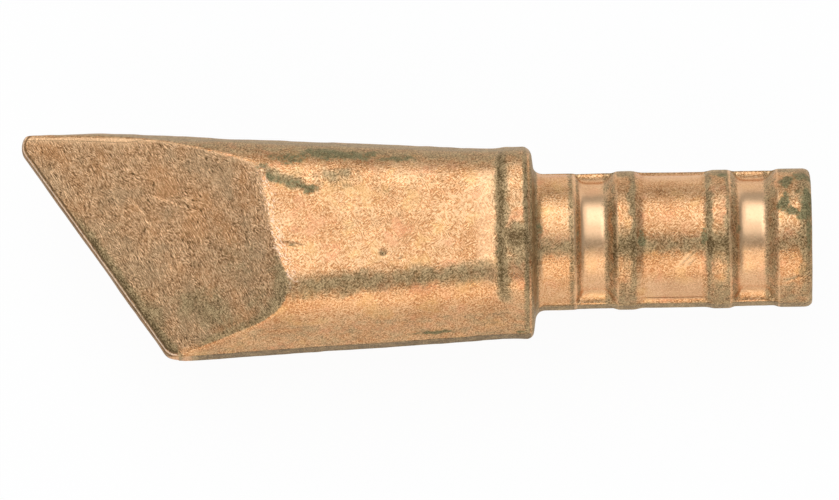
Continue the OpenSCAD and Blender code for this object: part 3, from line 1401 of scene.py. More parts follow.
def fill_mesh(mesh: bpy.types.Mesh, points: np.ndarray, corners: np.ndarray, totals: np.ndarray) -> None:
    """Put points and faces into an empty mesh.

    Args:
        mesh: The mesh.
        points: Places of the points.
        corners: Point numbers of all the faces, one face after another.
        totals: Number of points of each face.
    """
    mesh.vertices.add(len(points))
    mesh.vertices.foreach_set("co", points.astype(np.float32).ravel())
    mesh.loops.add(len(corners))
    mesh.loops.foreach_set("vertex_index", corners.astype(np.int32))
    mesh.polygons.add(len(totals))
    mesh.polygons.foreach_set("loop_start", (np.cumsum(totals) - totals).astype(np.int32))
    mesh.update(calc_edges=True)


Socket = bpy.types.NodeSocket
Colour = tuple[float, float, float]
# A noise is its size in millimetres, the number of its finer layers, and their strength.
Noise = tuple[float, float, float]


def srgb(red: int, green: int, blue: int) -> Colour:
    """Turn a colour as a screen shows it into the shader's linear numbers.

    Args:
        red: Red, 0 to 255.
        green: Green, 0 to 255.
        blue: Blue, 0 to 255.

    Returns:
        The linear colour.
    """
    def linear(level: int) -> float:
        """One channel, from screen to linear."""
        share = level / 255.0
        return share / 12.92 if share <= 0.04045 else ((share + 0.055) / 1.055) ** 2.4

    return linear(red), linear(green), linear(blue)


class Graph:
    """Draws the nodes of one material."""

    def __init__(self, name: str) -> None:
        """Start an empty material with its shader and output.

        Args:
            name: Name of the material.
        """
        self.material = bpy.data.materials.new(name)
        self.material.use_nodes = True
        self.tree = self.material.node_tree
        self.tree.nodes.clear()
        self.shader = self.tree.nodes.new("ShaderNodeBsdfPrincipled")
        output = self.tree.nodes.new("ShaderNodeOutputMaterial")
        self.tree.links.new(self.shader.outputs["BSDF"], output.inputs["Surface"])
        place = self.tree.nodes.new("ShaderNodeTexCoord")
        self.millimetres = self.scaled(place.outputs["Object"], (1.0 / MM,) * 3)

    def feed(self, socket: Socket, value: Socket | float | tuple[float, ...]) -> None:
        """Link a socket, or set it where the value is a plain number or colour.

        Args:
            socket: The input.
            value: What it gets.
        """
        if isinstance(value, Socket):
            self.tree.links.new(value, socket)
        elif isinstance(value, tuple) and socket.type == "RGBA":
            socket.default_value = (*value, 1.0)
        else:
            socket.default_value = value

    def scaled(self, vector: Socket, scale: tuple[float, float, float], turn: float = 0.0) -> Socket:
        """Coordinates turned about Z and then scaled.

        Args:
            vector: Coordinates.
            scale: Scale along each axis after the turn.
            turn: Turn in degrees.

        Returns:
            The new coordinates.
        """
        turned = self.tree.nodes.new("ShaderNodeVectorRotate")
        turned.rotation_type = "Z_AXIS"
        turned.inputs["Angle"].default_value = math.radians(turn)
        self.feed(turned.inputs["Vector"], vector)
        node = self.tree.nodes.new("ShaderNodeVectorMath")
        node.operation = "MULTIPLY"
        self.feed(node.inputs[0], turned.outputs["Vector"])
        node.inputs[1].default_value = scale
        return node.outputs["Vector"]

    def mask(self, mask: Mask) -> Socket:
        """One of the values kept at the points of the skin."""
        node = self.tree.nodes.new("ShaderNodeAttribute")
        node.attribute_name = mask.value
        return node.outputs["Fac"]

    def noise(
        self, size: float, detail: float, rough: float, vector: Socket | None = None
    ) -> Socket:
        """Cloudy noise.

        Args:
            size: Size of its largest features in millimetres.
            detail: Number of finer layers.
            rough: Strength of the finer layers.
            vector: Coordinates in millimetres, or none for the piece's own.

        Returns:
            Values around a half.
        """
        node = self.tree.nodes.new("ShaderNodeTexNoise")
        self.feed(node.inputs["Vector"], vector or self.millimetres)
        node.inputs["Scale"].default_value = 1.0 / size
        node.inputs["Detail"].default_value = detail
        node.inputs["Roughness"].default_value = rough
        return node.outputs[0]

    def math(
        self, kind: str, one: Socket | float, other: Socket | float = 0.0, clamp: bool = False
    ) -> Socket:
        """Take one step of arithmetic.

        Args:
            kind: The operation.
            one: First socket or number.
            other: Second socket or number.
            clamp: Whether the result is kept from 0 to 1.

        Returns:
            The result.
        """
        node = self.tree.nodes.new("ShaderNodeMath")
        node.operation = kind
        node.use_clamp = clamp
        self.feed(node.inputs[0], one)
        self.feed(node.inputs[1], other)
        return node.outputs[0]

    def add(self, *values: Socket | float) -> Socket:
        """Add up sockets or numbers.

        Args:
            values: Two or more of them.

        Returns:
            Their sum.
        """
        total, *others = values
        for value in others:
            total = self.math("ADD", total, value)
        return total

    def less(self, one: Socket | float, other: Socket | float) -> Socket:
        """One value less another."""
        return self.math("SUBTRACT", one, other)

    def times(self, one: Socket | float, other: Socket | float) -> Socket:
        """Product of two values."""
        return self.math("MULTIPLY", one, other)

    def most(self, one: Socket | float, other: Socket | float) -> Socket:
        """The larger of two values."""
        return self.math("MAXIMUM", one, other)

    def off(self, one: Socket | float, other: Socket | float) -> Socket:
        """Distance between two values."""
        return self.math("ABSOLUTE", self.less(one, other))

    def span(self, value: Socket, low: float, high: float, start: float = 0.0, end: float = 1.0) -> Socket:
        """Map a range onto another with soft ends.

        Args:
            value: Values to map.
            low: Where the range starts.
            high: Where the range ends.
            start: Result at low and below.
            end: Result at high and above.

        Returns:
            Mapped values.
        """
        node = self.tree.nodes.new("ShaderNodeMapRange")
        node.interpolation_type = "SMOOTHSTEP"
        for socket, number in zip(list(node.inputs)[1:5], (low, high, start, end)):
            socket.default_value = number
        self.feed(node.inputs["Value"], value)
        return node.outputs["Result"]

    def blend(self, share: Socket | float, one: Socket | Colour, other: Socket | Colour) -> Socket:
        """Mix two colours.

        Args:
            share: Share of the second.
            one: First colour.
            other: Second colour.

        Returns:
            The mixed colour.
        """
        node = self.tree.nodes.new("ShaderNodeMix")
        node.data_type = "RGBA"
        self.feed(node.inputs[0], share)
        self.feed(node.inputs[6], one)
        self.feed(node.inputs[7], other)
        return node.outputs[2]

    def between(self, share: Socket, one: Socket | float, other: Socket | float) -> Socket:
        """Mix two numbers.

        Args:
            share: Share of the second.
            one: First number.
            other: Second number.

        Returns:
            The mixed number.
        """
        node = self.tree.nodes.new("ShaderNodeMix")
        self.feed(node.inputs[0], share)
        self.feed(node.inputs[2], one)
        self.feed(node.inputs[3], other)
        return node.outputs[0]

    def ramp(self, value: Socket, places: tuple[float, ...], colours: tuple[Colour, ...]) -> Socket:
        """Lay colours along a range of values.

        Args:
            value: Values to colour.
            places: Values at which the colours stand.
            colours: The colours.

        Returns:
            The colour.
        """
        node = self.tree.nodes.new("ShaderNodeValToRGB")
        ramp = node.color_ramp
        while len(ramp.elements) < len(places):
            ramp.elements.new(places[1])
        for element, place, colour in zip(ramp.elements, places, colours):
            element.position = place
            element.color = (*colour, 1.0)
        self.feed(node.inputs[0], value)
        return node.outputs[0]


@dataclass(frozen=True)
class Grain:
    """Noises of one material, which its colour, cover and relief share."""

    frost: Socket
    speck: Socket
    cloud: Socket
    blotch: Socket
    strokes: Socket
    hatch: Socket
    flecks: Socket


@dataclass(frozen=True)
class CopperFinish:
    """Copper as forged, ground, handled and tarnished, with painted shade and highlights; the masks of the
    skin say where each shows.
    """

    slot: Slot
    deep: Colour = srgb(166, 113, 71)
    mid: Colour = srgb(202, 147, 100)
    light: Colour = srgb(238, 192, 146)
    rosy: Colour = srgb(223, 156, 116)
    golden: Colour = srgb(226, 178, 116)
    # Colour of polished places and of the painted highlights on the waists, barrel flanks and collar foot.
    clean_and_sheen: Colour = srgb(234, 190, 149)
    ground_deep: Colour = srgb(106, 76, 50)
    ground_mid: Colour = srgb(196, 150, 108)
    ground_light: Colour = srgb(250, 206, 164)
    ground_tan: Colour = srgb(206, 146, 96)
    ground_grey: Colour = srgb(180, 152, 118)
    rubbed: Colour = srgb(255, 206, 158)
    # Bright flecks, and the painted highlight line along the cutting edge.
    fleck: Colour = srgb(255, 226, 202)
    film_deep: Colour = srgb(88, 72, 46)
    film_mid: Colour = srgb(154, 130, 94)
    film_pale: Colour = srgb(200, 171, 129)
    # Dark flecks, and the painted shade of the fine lines.
    crease: Colour = srgb(88, 66, 42)
    green_deep: Colour = srgb(82, 80, 54)
    green_pale: Colour = srgb(150, 140, 102)
    roughness: Range = (0.3, 0.7, 0.24, 0.35)
    burnished: float = 0.29
    ground_roughness: float = 0.42
    film_roughness: float = 0.5
    green_roughness: float = 0.65
    film_metallic: float = 0.65
    green_dulling: float = 0.25
    film_gloss: float = 0.25
    edge_tint: Colour = (0.98, 0.87, 0.74)
    frost_noise: Noise = (0.24, 2.0, 0.55)
    speck_noise: Noise = (0.5, 2.0, 0.6)
    cloud_noise: Noise = (6.0, 3.0, 0.55)
    blotch_noise: Noise = (1.4, 3.0, 0.6)
    warm_noise: Noise = (3.4, 2.0, 0.6)
    nick_noise: Noise = (2.6, 2.0, 0.6)
    hatch_noise: Noise = (1.1, 1.0, 0.5)
    hatch_change: Span = (0.44, 0.56)
    fleck_noise: Noise = (2.0, 1.0, 0.5)
    fleck_change: Span = (0.5, 0.58)
    stroke_noise: Noise = (1.0, 1.0, 0.5)
    stroke_turn: float = 57.0
    cross_turn: float = -36.0
    stroke_length: float = 0.5
    stroke_width: float = 0.13
    fleck_turn: float = 61.0
    skew_turn: float = 28.0
    fleck_length: float = 0.75
    fleck_width: float = 0.18
    frost_depth: float = 0.03
    hatch_depth: float = 0.044
    filed_depth: float = 0.075
    filed_strokes: float = 0.6
    filed_frost: float = 0.6
    line_depth: float = 0.04
    forged_hatch: Range = (0.3, 0.7, -0.02, 0.42)
    forged_frost: Range = (0.32, 0.68, 0.0, 0.25)
    forged_cloud: Range = (0.3, 0.7, 0.03, 0.17)
    forged_blotch: Range = (0.3, 0.7, 0.03, 0.12)
    forged_tones: tuple[float, ...] = (0.25, 0.46, 0.72)
    rosy_share: Range = (0.54, 0.72, 0.0, 0.45)
    golden_share: Range = (0.46, 0.3, 0.0, 0.35)
    polish_and_sheen_share: float = 0.85
    crest_start: Span = (0.15, 0.5)
    crest_share: float = 0.7
    ground_ragged: Range = (0.3, 0.7, -0.16, 0.16)
    ground_start: Span = (-0.06, 0.1)
    ground_strokes: Range = (0.36, 0.64, -0.06, 0.28)
    ground_flecks: Range = (0.36, 0.64, 0.0, 0.22)
    ground_frost: Range = (0.36, 0.64, 0.02, 0.28)
    ground_blotch: Range = (0.34, 0.66, 0.03, 0.21)
    ground_tones: tuple[float, ...] = (0.0, 0.5, 1.0)
    tan_share: Range = (0.5, 0.66, 0.0, 0.42)
    grey_share: Range = (0.5, 0.36, 0.0, 0.4)
    nick_share: Range = (0.42, 0.6, 0.15, 0.9)
    bright_flecks: Range = (0.62, 0.65, 0.0, 0.95)
    dark_flecks: Span = (0.38, 0.34)
    glitter_place: float = -0.25
    glitter_fade: Range = (0.15, 0.7, 1.0, 0.0)
    glitter_flecks: Range = (0.54, 0.62, 0.0, 0.5)
    glitter_height: Span = (11.3, 11.8)
    rim_shine: Range = (1.7, 0.4, 0.0, 0.7)
    edge_glow: float = 0.23
    edge_shine: Range = (0.03, 0.09, 0.8, 0.0)
    film_hatch: Range = (0.32, 0.68, 0.0, 0.35)
    film_blotch: Range = (0.25, 0.75, 0.0, 0.3)
    film_frost: Range = (0.32, 0.68, 0.0, 0.35)
    film_heavy: Range = (0.8, 1.05, 0.0, 0.25)
    film_tones: tuple[float, ...] = (0.17, 0.5, 0.83)
    corner_grime_and_shade: Range = (0.1, 0.5, 0.0, 0.9)
    film_patches: Range = (0.3, 0.7, -0.15, 0.15)
    film_scratches: Range = (0.3, 0.7, -0.08, 0.08)
    film_grain: Range = (0.34, 0.66, -0.05, 0.05)
    film_cover: Range = (0.14, 0.82, 0.0, 0.94)
    rubbed_through: float = 0.55
    green_specks: Range = (0.25, 0.75, -0.3, 0.3)
    green_scratches: Range = (0.3, 0.7, -0.25, 0.25)
    green_cover: Range = (0.25, 0.95, 0.0, 0.92)
    green_mix: Span = (0.35, 0.65)
    line_share: Range = (0.35, 0.65, 0.5, 0.85)
    line_width: float = 0.13
    line_core: float = 0.3
    line_on_face: Span = (-0.4, -0.1)
    rim_line: float = 0.82
    rim_line_share: float = 0.45
    edge_line: float = 0.49
    edge_width: float = 0.2
    blunt_edge: Span = (0.17, 0.09)

    def material(self) -> bpy.types.Material:
        """Build the finish's material.

        Returns:
            The material, named for its slot.
        """
        pen = Graph(self.slot.value)
        grain = self.grain(pen)
        burnish = pen.mask(Mask.BURNISH)
        ground_edge = pen.add(pen.mask(Mask.GROUND), pen.span(grain.speck, *self.ground_ragged))
        ground = pen.span(ground_edge, *self.ground_start)
        crest = pen.span(pen.mask(Mask.CREST), *self.crest_start)
        # The film share darkens with tarnish and with painted shade and dark reflections.
        film = self.film_share(pen, grain, crest)
        green = self.green_share(pen, grain)
        lines = self.lines(pen)

        metal = self.forged_colour(pen, grain)
        # Polished places and painted highlights take the clean colour.
        metal = pen.blend(pen.times(burnish, self.polish_and_sheen_share), metal, self.clean_and_sheen)
        filed = self.rubbed_and_highlit_edges(pen, self.ground_colour(pen, grain))
        colour = pen.blend(ground, metal, filed)
        colour = pen.blend(self.glitter(pen, grain, ground_edge), colour, self.fleck)
        # Crests are lightened: rubbed edges, partly painted highlight.
        colour = pen.blend(pen.times(crest, self.crest_share), colour, self.light)
        colour = pen.blend(film, colour, self.film_colour(pen, grain))
        crust = pen.blend(pen.span(grain.hatch, *self.green_mix), self.green_deep, self.green_pale)
        colour = pen.blend(green, colour, crust)
        # The fine lines are painted shade in the crease colour.
        drawn = pen.times(lines, pen.span(grain.blotch, *self.line_share))
        pen.feed(pen.shader.inputs["Base Color"], pen.blend(drawn, colour, self.crease))

        rough = pen.span(grain.blotch, *self.roughness)
        rough = pen.between(burnish, rough, self.burnished)
        rough = pen.between(ground, rough, self.ground_roughness)
        rough = pen.between(film, rough, self.film_roughness)
        rough = pen.between(green, rough, self.green_roughness)
        pen.feed(pen.shader.inputs["Roughness"], rough)
        metallic = pen.between(film, 1.0, self.film_metallic)
        metallic = pen.math("SUBTRACT", metallic, pen.times(green, self.green_dulling), clamp=True)
        pen.feed(pen.shader.inputs["Metallic"], metallic)
        pen.feed(pen.shader.inputs["Specular IOR Level"], self.film_gloss)
        pen.feed(pen.shader.inputs["Specular Tint"], self.edge_tint)

        skin = pen.add(pen.times(grain.frost, self.frost_depth), pen.times(grain.hatch, self.hatch_depth))
        skin = pen.times(skin, pen.less(1.0, pen.times(burnish, self.polish_and_sheen_share)))
        marks = pen.add(pen.times(grain.strokes, self.filed_strokes), grain.flecks)
        marks = pen.add(marks, pen.times(grain.frost, self.filed_frost))
        height = pen.between(ground, skin, pen.times(marks, self.filed_depth))
        bump = pen.tree.nodes.new("ShaderNodeBump")
        bump.inputs["Distance"].default_value = MM
        pen.feed(bump.inputs["Height"], pen.less(height, pen.times(lines, self.line_depth)))
        pen.feed(pen.shader.inputs["Normal"], bump.outputs["Normal"])
        return pen.material

    def grain(self, pen: Graph) -> Grain:
        """Draw the noises that the material shares.

        Args:
            pen: The material's nodes.

        Returns:
            The noises.
        """
        strokes = self.strokes(pen, self.stroke_turn, self.stroke_length, self.stroke_width)
        crossing = self.strokes(pen, self.cross_turn, self.stroke_length, self.stroke_width)
        along = self.strokes(pen, self.fleck_turn, self.fleck_length, self.fleck_width)
        askew = self.strokes(pen, self.skew_turn, self.fleck_length, self.fleck_width)
        hatch_share = pen.span(pen.noise(*self.hatch_noise), *self.hatch_change)
        fleck_share = pen.span(pen.noise(*self.fleck_noise), *self.fleck_change)
        return Grain(
            frost=pen.noise(*self.frost_noise),
            speck=pen.noise(*self.speck_noise),
            cloud=pen.noise(*self.cloud_noise),
            blotch=pen.noise(*self.blotch_noise),
            strokes=strokes,
            hatch=pen.between(hatch_share, strokes, crossing),
            flecks=pen.between(fleck_share, along, askew),
        )

    def strokes(self, pen: Graph, turn: float, length: float, width: float) -> Socket:
        """Noise around a half, drawn out into strokes; the turn is in degrees, the sizes in millimetres."""
        scale = (1.0 / length, 1.0 / width, 1.0 / width)
        return pen.noise(*self.stroke_noise, pen.scaled(pen.millimetres, scale, turn))

    def forged_colour(self, pen: Graph, grain: Grain) -> Socket:
        """Colour the forged skin: light on the grain, brown between, rosy and golden by patches.

        Args:
            pen: The material's nodes.
            grain: The material's noises.

        Returns:
            The colour.
        """
        tone = pen.add(
            pen.span(grain.hatch, *self.forged_hatch),
            pen.span(grain.frost, *self.forged_frost),
            pen.span(grain.cloud, *self.forged_cloud),
            pen.span(grain.blotch, *self.forged_blotch),
        )
        metal = pen.ramp(tone, self.forged_tones, (self.deep, self.mid, self.light))
        warm = pen.noise(*self.warm_noise)
        metal = pen.blend(pen.span(warm, *self.rosy_share), metal, self.rosy)
        return pen.blend(pen.span(warm, *self.golden_share), metal, self.golden)

    def ground_colour(self, pen: Graph, grain: Grain) -> Socket:
        """Colour the ground faces: brown strokes with bright and dark flecks.

        Args:
            pen: The material's nodes.
            grain: The material's noises.

        Returns:
            The colour.
        """
        tone = pen.add(
            pen.span(grain.strokes, *self.ground_strokes),
            pen.span(grain.flecks, *self.ground_flecks),
            pen.span(grain.frost, *self.ground_frost),
            pen.span(grain.blotch, *self.ground_blotch),
        )
        filed = pen.ramp(tone, self.ground_tones, (self.ground_deep, self.ground_mid, self.ground_light))
        filed = pen.blend(pen.span(grain.cloud, *self.tan_share), filed, self.ground_tan)
        filed = pen.blend(pen.span(grain.cloud, *self.grey_share), filed, self.ground_grey)
        nicked = pen.span(pen.noise(*self.nick_noise), *self.nick_share)
        bright = pen.times(pen.span(grain.flecks, *self.bright_flecks), nicked)
        dark = pen.times(pen.span(grain.flecks, *self.dark_flecks), nicked)
        return pen.blend(dark, pen.blend(bright, filed, self.rubbed), self.crease)

    def rubbed_and_highlit_edges(self, pen: Graph, filed: Socket) -> Socket:
        """Brighten the filed faces: rubbed inside the trimmed rim, and a painted highlight line along the
        cutting edge.

        Args:
            pen: The material's nodes.
            filed: Colour of the filed faces.

        Returns:
            The colour with its rubbed edges.
        """
        filed = pen.blend(pen.span(pen.mask(Mask.RIM_GAP), *self.rim_shine), filed, self.rubbed)
        # A painted highlight line along the cutting edge.
        gap = pen.off(pen.mask(Mask.EDGE_GAP), self.edge_glow)
        return pen.blend(pen.span(gap, *self.edge_shine), filed, self.fleck)

    def glitter(self, pen: Graph, grain: Grain, ground_edge: Socket) -> Socket:
        """Scatter bright flecks on the flats just behind the ground faces.

        Args:
            pen: The material's nodes.
            grain: The material's noises.
            ground_edge: How far inside the ground faces a place lies, with a ragged edge.

        Returns:
            Shares of the flecks' colour.
        """
        near = pen.span(pen.off(ground_edge, self.glitter_place), *self.glitter_fade)
        near = pen.times(near, pen.span(grain.flecks, *self.glitter_flecks))
        place = pen.tree.nodes.new("ShaderNodeSeparateXYZ")
        pen.feed(place.inputs[0], pen.millimetres)
        return pen.times(near, pen.span(pen.math("ABSOLUTE", place.outputs["Z"]), *self.glitter_height))

    def film_colour(self, pen: Graph, grain: Grain) -> Socket:
        """Colour the brown film, deeper where it lies heavily.

        Args:
            pen: The material's nodes.
            grain: The material's noises.

        Returns:
            The colour.
        """
        tone = pen.add(
            pen.span(grain.hatch, *self.film_hatch),
            pen.span(grain.blotch, *self.film_blotch),
            pen.span(grain.frost, *self.film_frost),
        )
        tone = pen.less(tone, pen.span(pen.mask(Mask.FILM), *self.film_heavy))
        return pen.ramp(tone, self.film_tones, (self.film_deep, self.film_mid, self.film_pale))

    def film_share(self, pen: Graph, grain: Grain, crest: Socket) -> Socket:
        """Spread brown film over stained places, and darkness into corners as painted shade with some grime,
        rubbed through on the grain and the crests.

        Args:
            pen: The material's nodes.
            grain: The material's noises.
            crest: How far each place stands out.

        Returns:
            Shares of the film.
        """
        # Corners darken: painted shade, with some grime.
        corners = pen.span(pen.mask(Mask.CREVICE), *self.corner_grime_and_shade)
        film = pen.add(pen.mask(Mask.FILM), corners, pen.span(grain.blotch, *self.film_patches))
        film = pen.less(film, pen.span(grain.hatch, *self.film_scratches))
        film = pen.less(film, pen.span(grain.frost, *self.film_grain))
        worn_off = pen.less(1.0, pen.times(crest, self.rubbed_through))
        return pen.times(pen.span(film, *self.film_cover), worn_off)

    def green_share(self, pen: Graph, grain: Grain) -> Socket:
        """Spread the green spots, broken up by specks and strokes.

        Args:
            pen: The material's nodes.
            grain: The material's noises.

        Returns:
            Shares of the green.
        """
        specks = pen.span(grain.speck, *self.green_specks)
        scratches = pen.span(grain.hatch, *self.green_scratches)
        return pen.span(pen.add(pen.mask(Mask.VERDIGRIS), specks, scratches), *self.green_cover)

    def lines(self, pen: Graph) -> Socket:
        """Draw fine dark lines, sunk a little by the bump: painted shade inside the trimmed rim, along the
        cutting edge and over its blunt face, and a dark die line beside the die seam, partly painted shade.

        Args:
            pen: The material's nodes.

        Returns:
            Shares of the lines.
        """
        def line(gap: Socket, place: float, width: float = self.line_width) -> Socket:
            """A line where a distance has one value."""
            return pen.span(pen.off(gap, place), self.line_core * width, width, 1.0, 0.0)

        on_face = pen.span(pen.mask(Mask.GROUND), *self.line_on_face)
        rim = pen.times(line(pen.mask(Mask.RIM_GAP), self.rim_line), self.rim_line_share)
        # The blunt face of the edge is darkened: painted shade.
        blunt = pen.span(pen.mask(Mask.EDGE_GAP), *self.blunt_edge)
        edge = pen.most(line(pen.mask(Mask.EDGE_GAP), self.edge_line, self.edge_width), blunt)
        dressed = pen.times(pen.most(rim, edge), on_face)
        return pen.most(line(pen.mask(Mask.SEAM_GAP), 0.0), dressed)


@dataclass
class Softbox:
    """A large soft lamp that faces the bit.

    Lean and aside tip it from overhead, across the axis and along it, and spread is half the angle that
    it fills each way, all in degrees. Level is the brightness of its face.
    """

    name: str
    lean: float
    aside: float
    spread: Span
    level: float
    tint: Colour = (1.0, 1.0, 1.0)
    reach: float = 0.8

    def build(self, centre: Vector) -> None:
        """Hang the lamp.

        Args:
            centre: The point that it faces.
        """
        lamp = bpy.data.lights.new(self.name, "AREA")
        lamp.shape = "RECTANGLE"
        lamp.size, lamp.size_y = (2.0 * self.reach * math.tan(math.radians(half)) for half in self.spread)
        lamp.energy = self.level * math.pi * lamp.size * lamp.size_y
        lamp.color = self.tint
        holder = bpy.data.objects.new(self.name, lamp)
        tilt = math.radians(self.lean)
        side = math.radians(self.aside)
        along = Vector((1.0, 0.0, 0.0))
        above = Vector((0.0, math.sin(tilt), math.cos(tilt)))
        away = along * math.sin(side) + above * math.cos(side)
        across = along * math.cos(side) - above * math.sin(side)
        turn = Matrix((across, away.cross(across), away)).transposed().to_4x4()
        holder.matrix_world = Matrix.Translation(centre + away * self.reach) @ turn
        holder.visible_camera = False
        bpy.context.scene.collection.objects.link(holder)


@dataclass
class Studio:
    """Floor, light and camera at the photograph's view."""

    elevation: float = math.radians(76.0)
    roll: float = math.radians(1.02)
    picture_size: Span = (839.0, 500.0)
    rear_end_pixel: Span = (811.0, 237.3)
    millimetres_per_pixel: float = 0.1421
    distance: float = 2.8
    sensor: float = 36.0
    nearest: float = 0.01
    floor_gap: float = 0.00005
    floor_radius: float = 3.0
    floor_sides: int = 96
    floor_colour: Colour = (0.9, 0.9, 0.9)
    world_level: float = 0.42
    world_tint: Colour = (0.89, 1.0, 1.05)
    floor_glow: float = 0.95
    softboxes: tuple[Softbox, ...] = (
        Softbox("overhead", 30.5, 0.0, (38.0, 36.0), 0.87),
        Softbox("overhead_heart", 39.0, -7.0, (18.0, 17.0), 0.8, (0.97, 1.02, 1.12)),
        Softbox("overhead_left", 13.0, -21.0, (11.0, 16.0), 0.85),
        Softbox("front", -61.0, 0.0, (38.0, 24.0), 1.15, (1.0, 0.9, 0.8)),
        Softbox("tip_fill", -19.0, -46.0, (14.0, 14.0), 0.45),
    )

    def camera(self) -> None:
        """Set the camera so that the rear end of the axis falls on its pixel."""
        right = Vector((1.0, 0.0, 0.0))
        up = Vector((0.0, math.sin(self.elevation), math.cos(self.elevation)))
        back = Vector((0.0, -math.cos(self.elevation), math.sin(self.elevation)))
        across = right * math.cos(self.roll) - up * math.sin(self.roll)
        upward = right * math.sin(self.roll) + up * math.cos(self.roll)
        step = self.millimetres_per_pixel * MM
        aside = (self.picture_size[0] / 2.0 - self.rear_end_pixel[0]) * step
        below = (self.picture_size[1] / 2.0 - self.rear_end_pixel[1]) * step
        target = across * aside - upward * below
        lens = bpy.data.cameras.new("camera")
        lens.sensor_width = self.sensor
        lens.lens = self.sensor * self.distance / (self.picture_size[0] * step)
        lens.clip_start = self.nearest
        holder = bpy.data.objects.new("camera", lens)
        turn = Matrix((across, upward, back)).transposed().to_4x4()
        holder.matrix_world = Matrix.Translation(target + back * self.distance) @ turn
        bpy.context.scene.collection.objects.link(holder)
        bpy.context.scene.camera = holder

    def floor(self, level: float) -> None:
        """Lay a white floor that keeps the bit's shadow.

        Args:
            level: Height of the floor.
        """
        work = bmesh.new()
        bmesh.ops.create_circle(work, cap_ends=True, segments=self.floor_sides, radius=self.floor_radius)
        mesh = bpy.data.meshes.new("floor")
        work.to_mesh(mesh)
        work.free()
        floor = bpy.data.objects.new("floor", mesh)
        floor.location.z = level
        bpy.context.scene.collection.objects.link(floor)
        material = bpy.data.materials.new("floor_white")
        material.use_nodes = True
        tree = material.node_tree
        tree.nodes.clear()
        paper = tree.nodes.new("ShaderNodeBsdfDiffuse")
        paper.inputs["Color"].default_value = (*self.floor_colour, 1.0)
        glow = tree.nodes.new("ShaderNodeEmission")
        rays = tree.nodes.new("ShaderNodeLightPath")
        seen = rays.outputs["Is Camera Ray"]
        for kind in ("Is Glossy Ray", "Is Transmission Ray"):
            total = tree.nodes.new("ShaderNodeMath")
            total.operation = "ADD"
            total.use_clamp = True
            tree.links.new(seen, total.inputs[0])
            tree.links.new(rays.outputs[kind], total.inputs[1])
            seen = total.outputs[0]
        share = tree.nodes.new("ShaderNodeMath")
        share.operation = "MULTIPLY"
        share.inputs[1].default_value = self.floor_glow
        tree.links.new(seen, share.inputs[0])
        mix = tree.nodes.new("ShaderNodeMixShader")
        tree.links.new(share.outputs[0], mix.inputs[0])
        tree.links.new(paper.outputs[0], mix.inputs[1])
        tree.links.new(glow.outputs[0], mix.inputs[2])
        output = tree.nodes.new("ShaderNodeOutputMaterial")
        tree.links.new(mix.outputs[0], output.inputs["Surface"])
        mesh.materials.append(material)
        floor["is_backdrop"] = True

    def build(self) -> None:
        """Set up the floor, the lamps, the world and the camera."""
        low, high = CAD_BOX
        self.floor(min(low.z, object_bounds()[0].z) - self.floor_gap)
        middle = (low + high) / 2.0
        for softbox in self.softboxes:
            softbox.build(middle)
        world = bpy.data.worlds.new("studio")
        world.use_nodes = True
        backdrop = world.node_tree.nodes["Background"]
        backdrop.inputs["Color"].default_value = (*self.world_tint, 1.0)
        backdrop.inputs["Strength"].default_value = self.world_level
        bpy.context.scene.world = world
        bpy.context.scene.view_settings.view_transform = "Standard"
        self.camera()


# Each mark: place along and across, length, width, depth, turn, side (1 above, -1 below), shine.
DENTS = (
    Dent(-90.8, -3.7, 0.55, 0.2, 0.16, -50.0),
    Dent(-95.4, 5.2, 1.3, 0.22, 0.16, -52.0),
    Dent(-91.3, 5.6, 2.8, 0.22, 0.12, -23.0),
    Dent(-94.1, 3.1, 0.5, 0.3, 0.1, -40.0),
    Dent(-99.9, 4.9, 0.6, 0.25, 0.1, -60.0),
    Dent(-73.5, -2.7, 1.3, 0.24, 0.2, -10.0),
    Dent(-60.8, -4.2, 0.45, 0.45, 0.32),
    Dent(-58.3, -5.1, 0.35, 0.25, 0.1, 30.0),
    Dent(-18.2, -4.9, 1.2, 0.22, 0.08, 40.0, 1.0, 16.0),
    Dent(-17.5, -5.2, 0.9, 0.22, 0.08, 40.0, 1.0, 16.0),
    Dent(-2.5, -7.5, 1.2, 0.16, 0.1, 15.0),
    Dent(-93.0, 2.0, 2.4, 0.2, 0.1, -40.0, -1.0),
    Dent(-64.0, 1.5, 1.6, 0.24, 0.12, 24.0, -1.0),
    Dent(-57.5, -3.2, 0.5, 0.4, 0.18, 0.0, -1.0),
    Dent(-19.5, 3.0, 1.1, 0.18, 0.12, -35.0, -1.0),
)
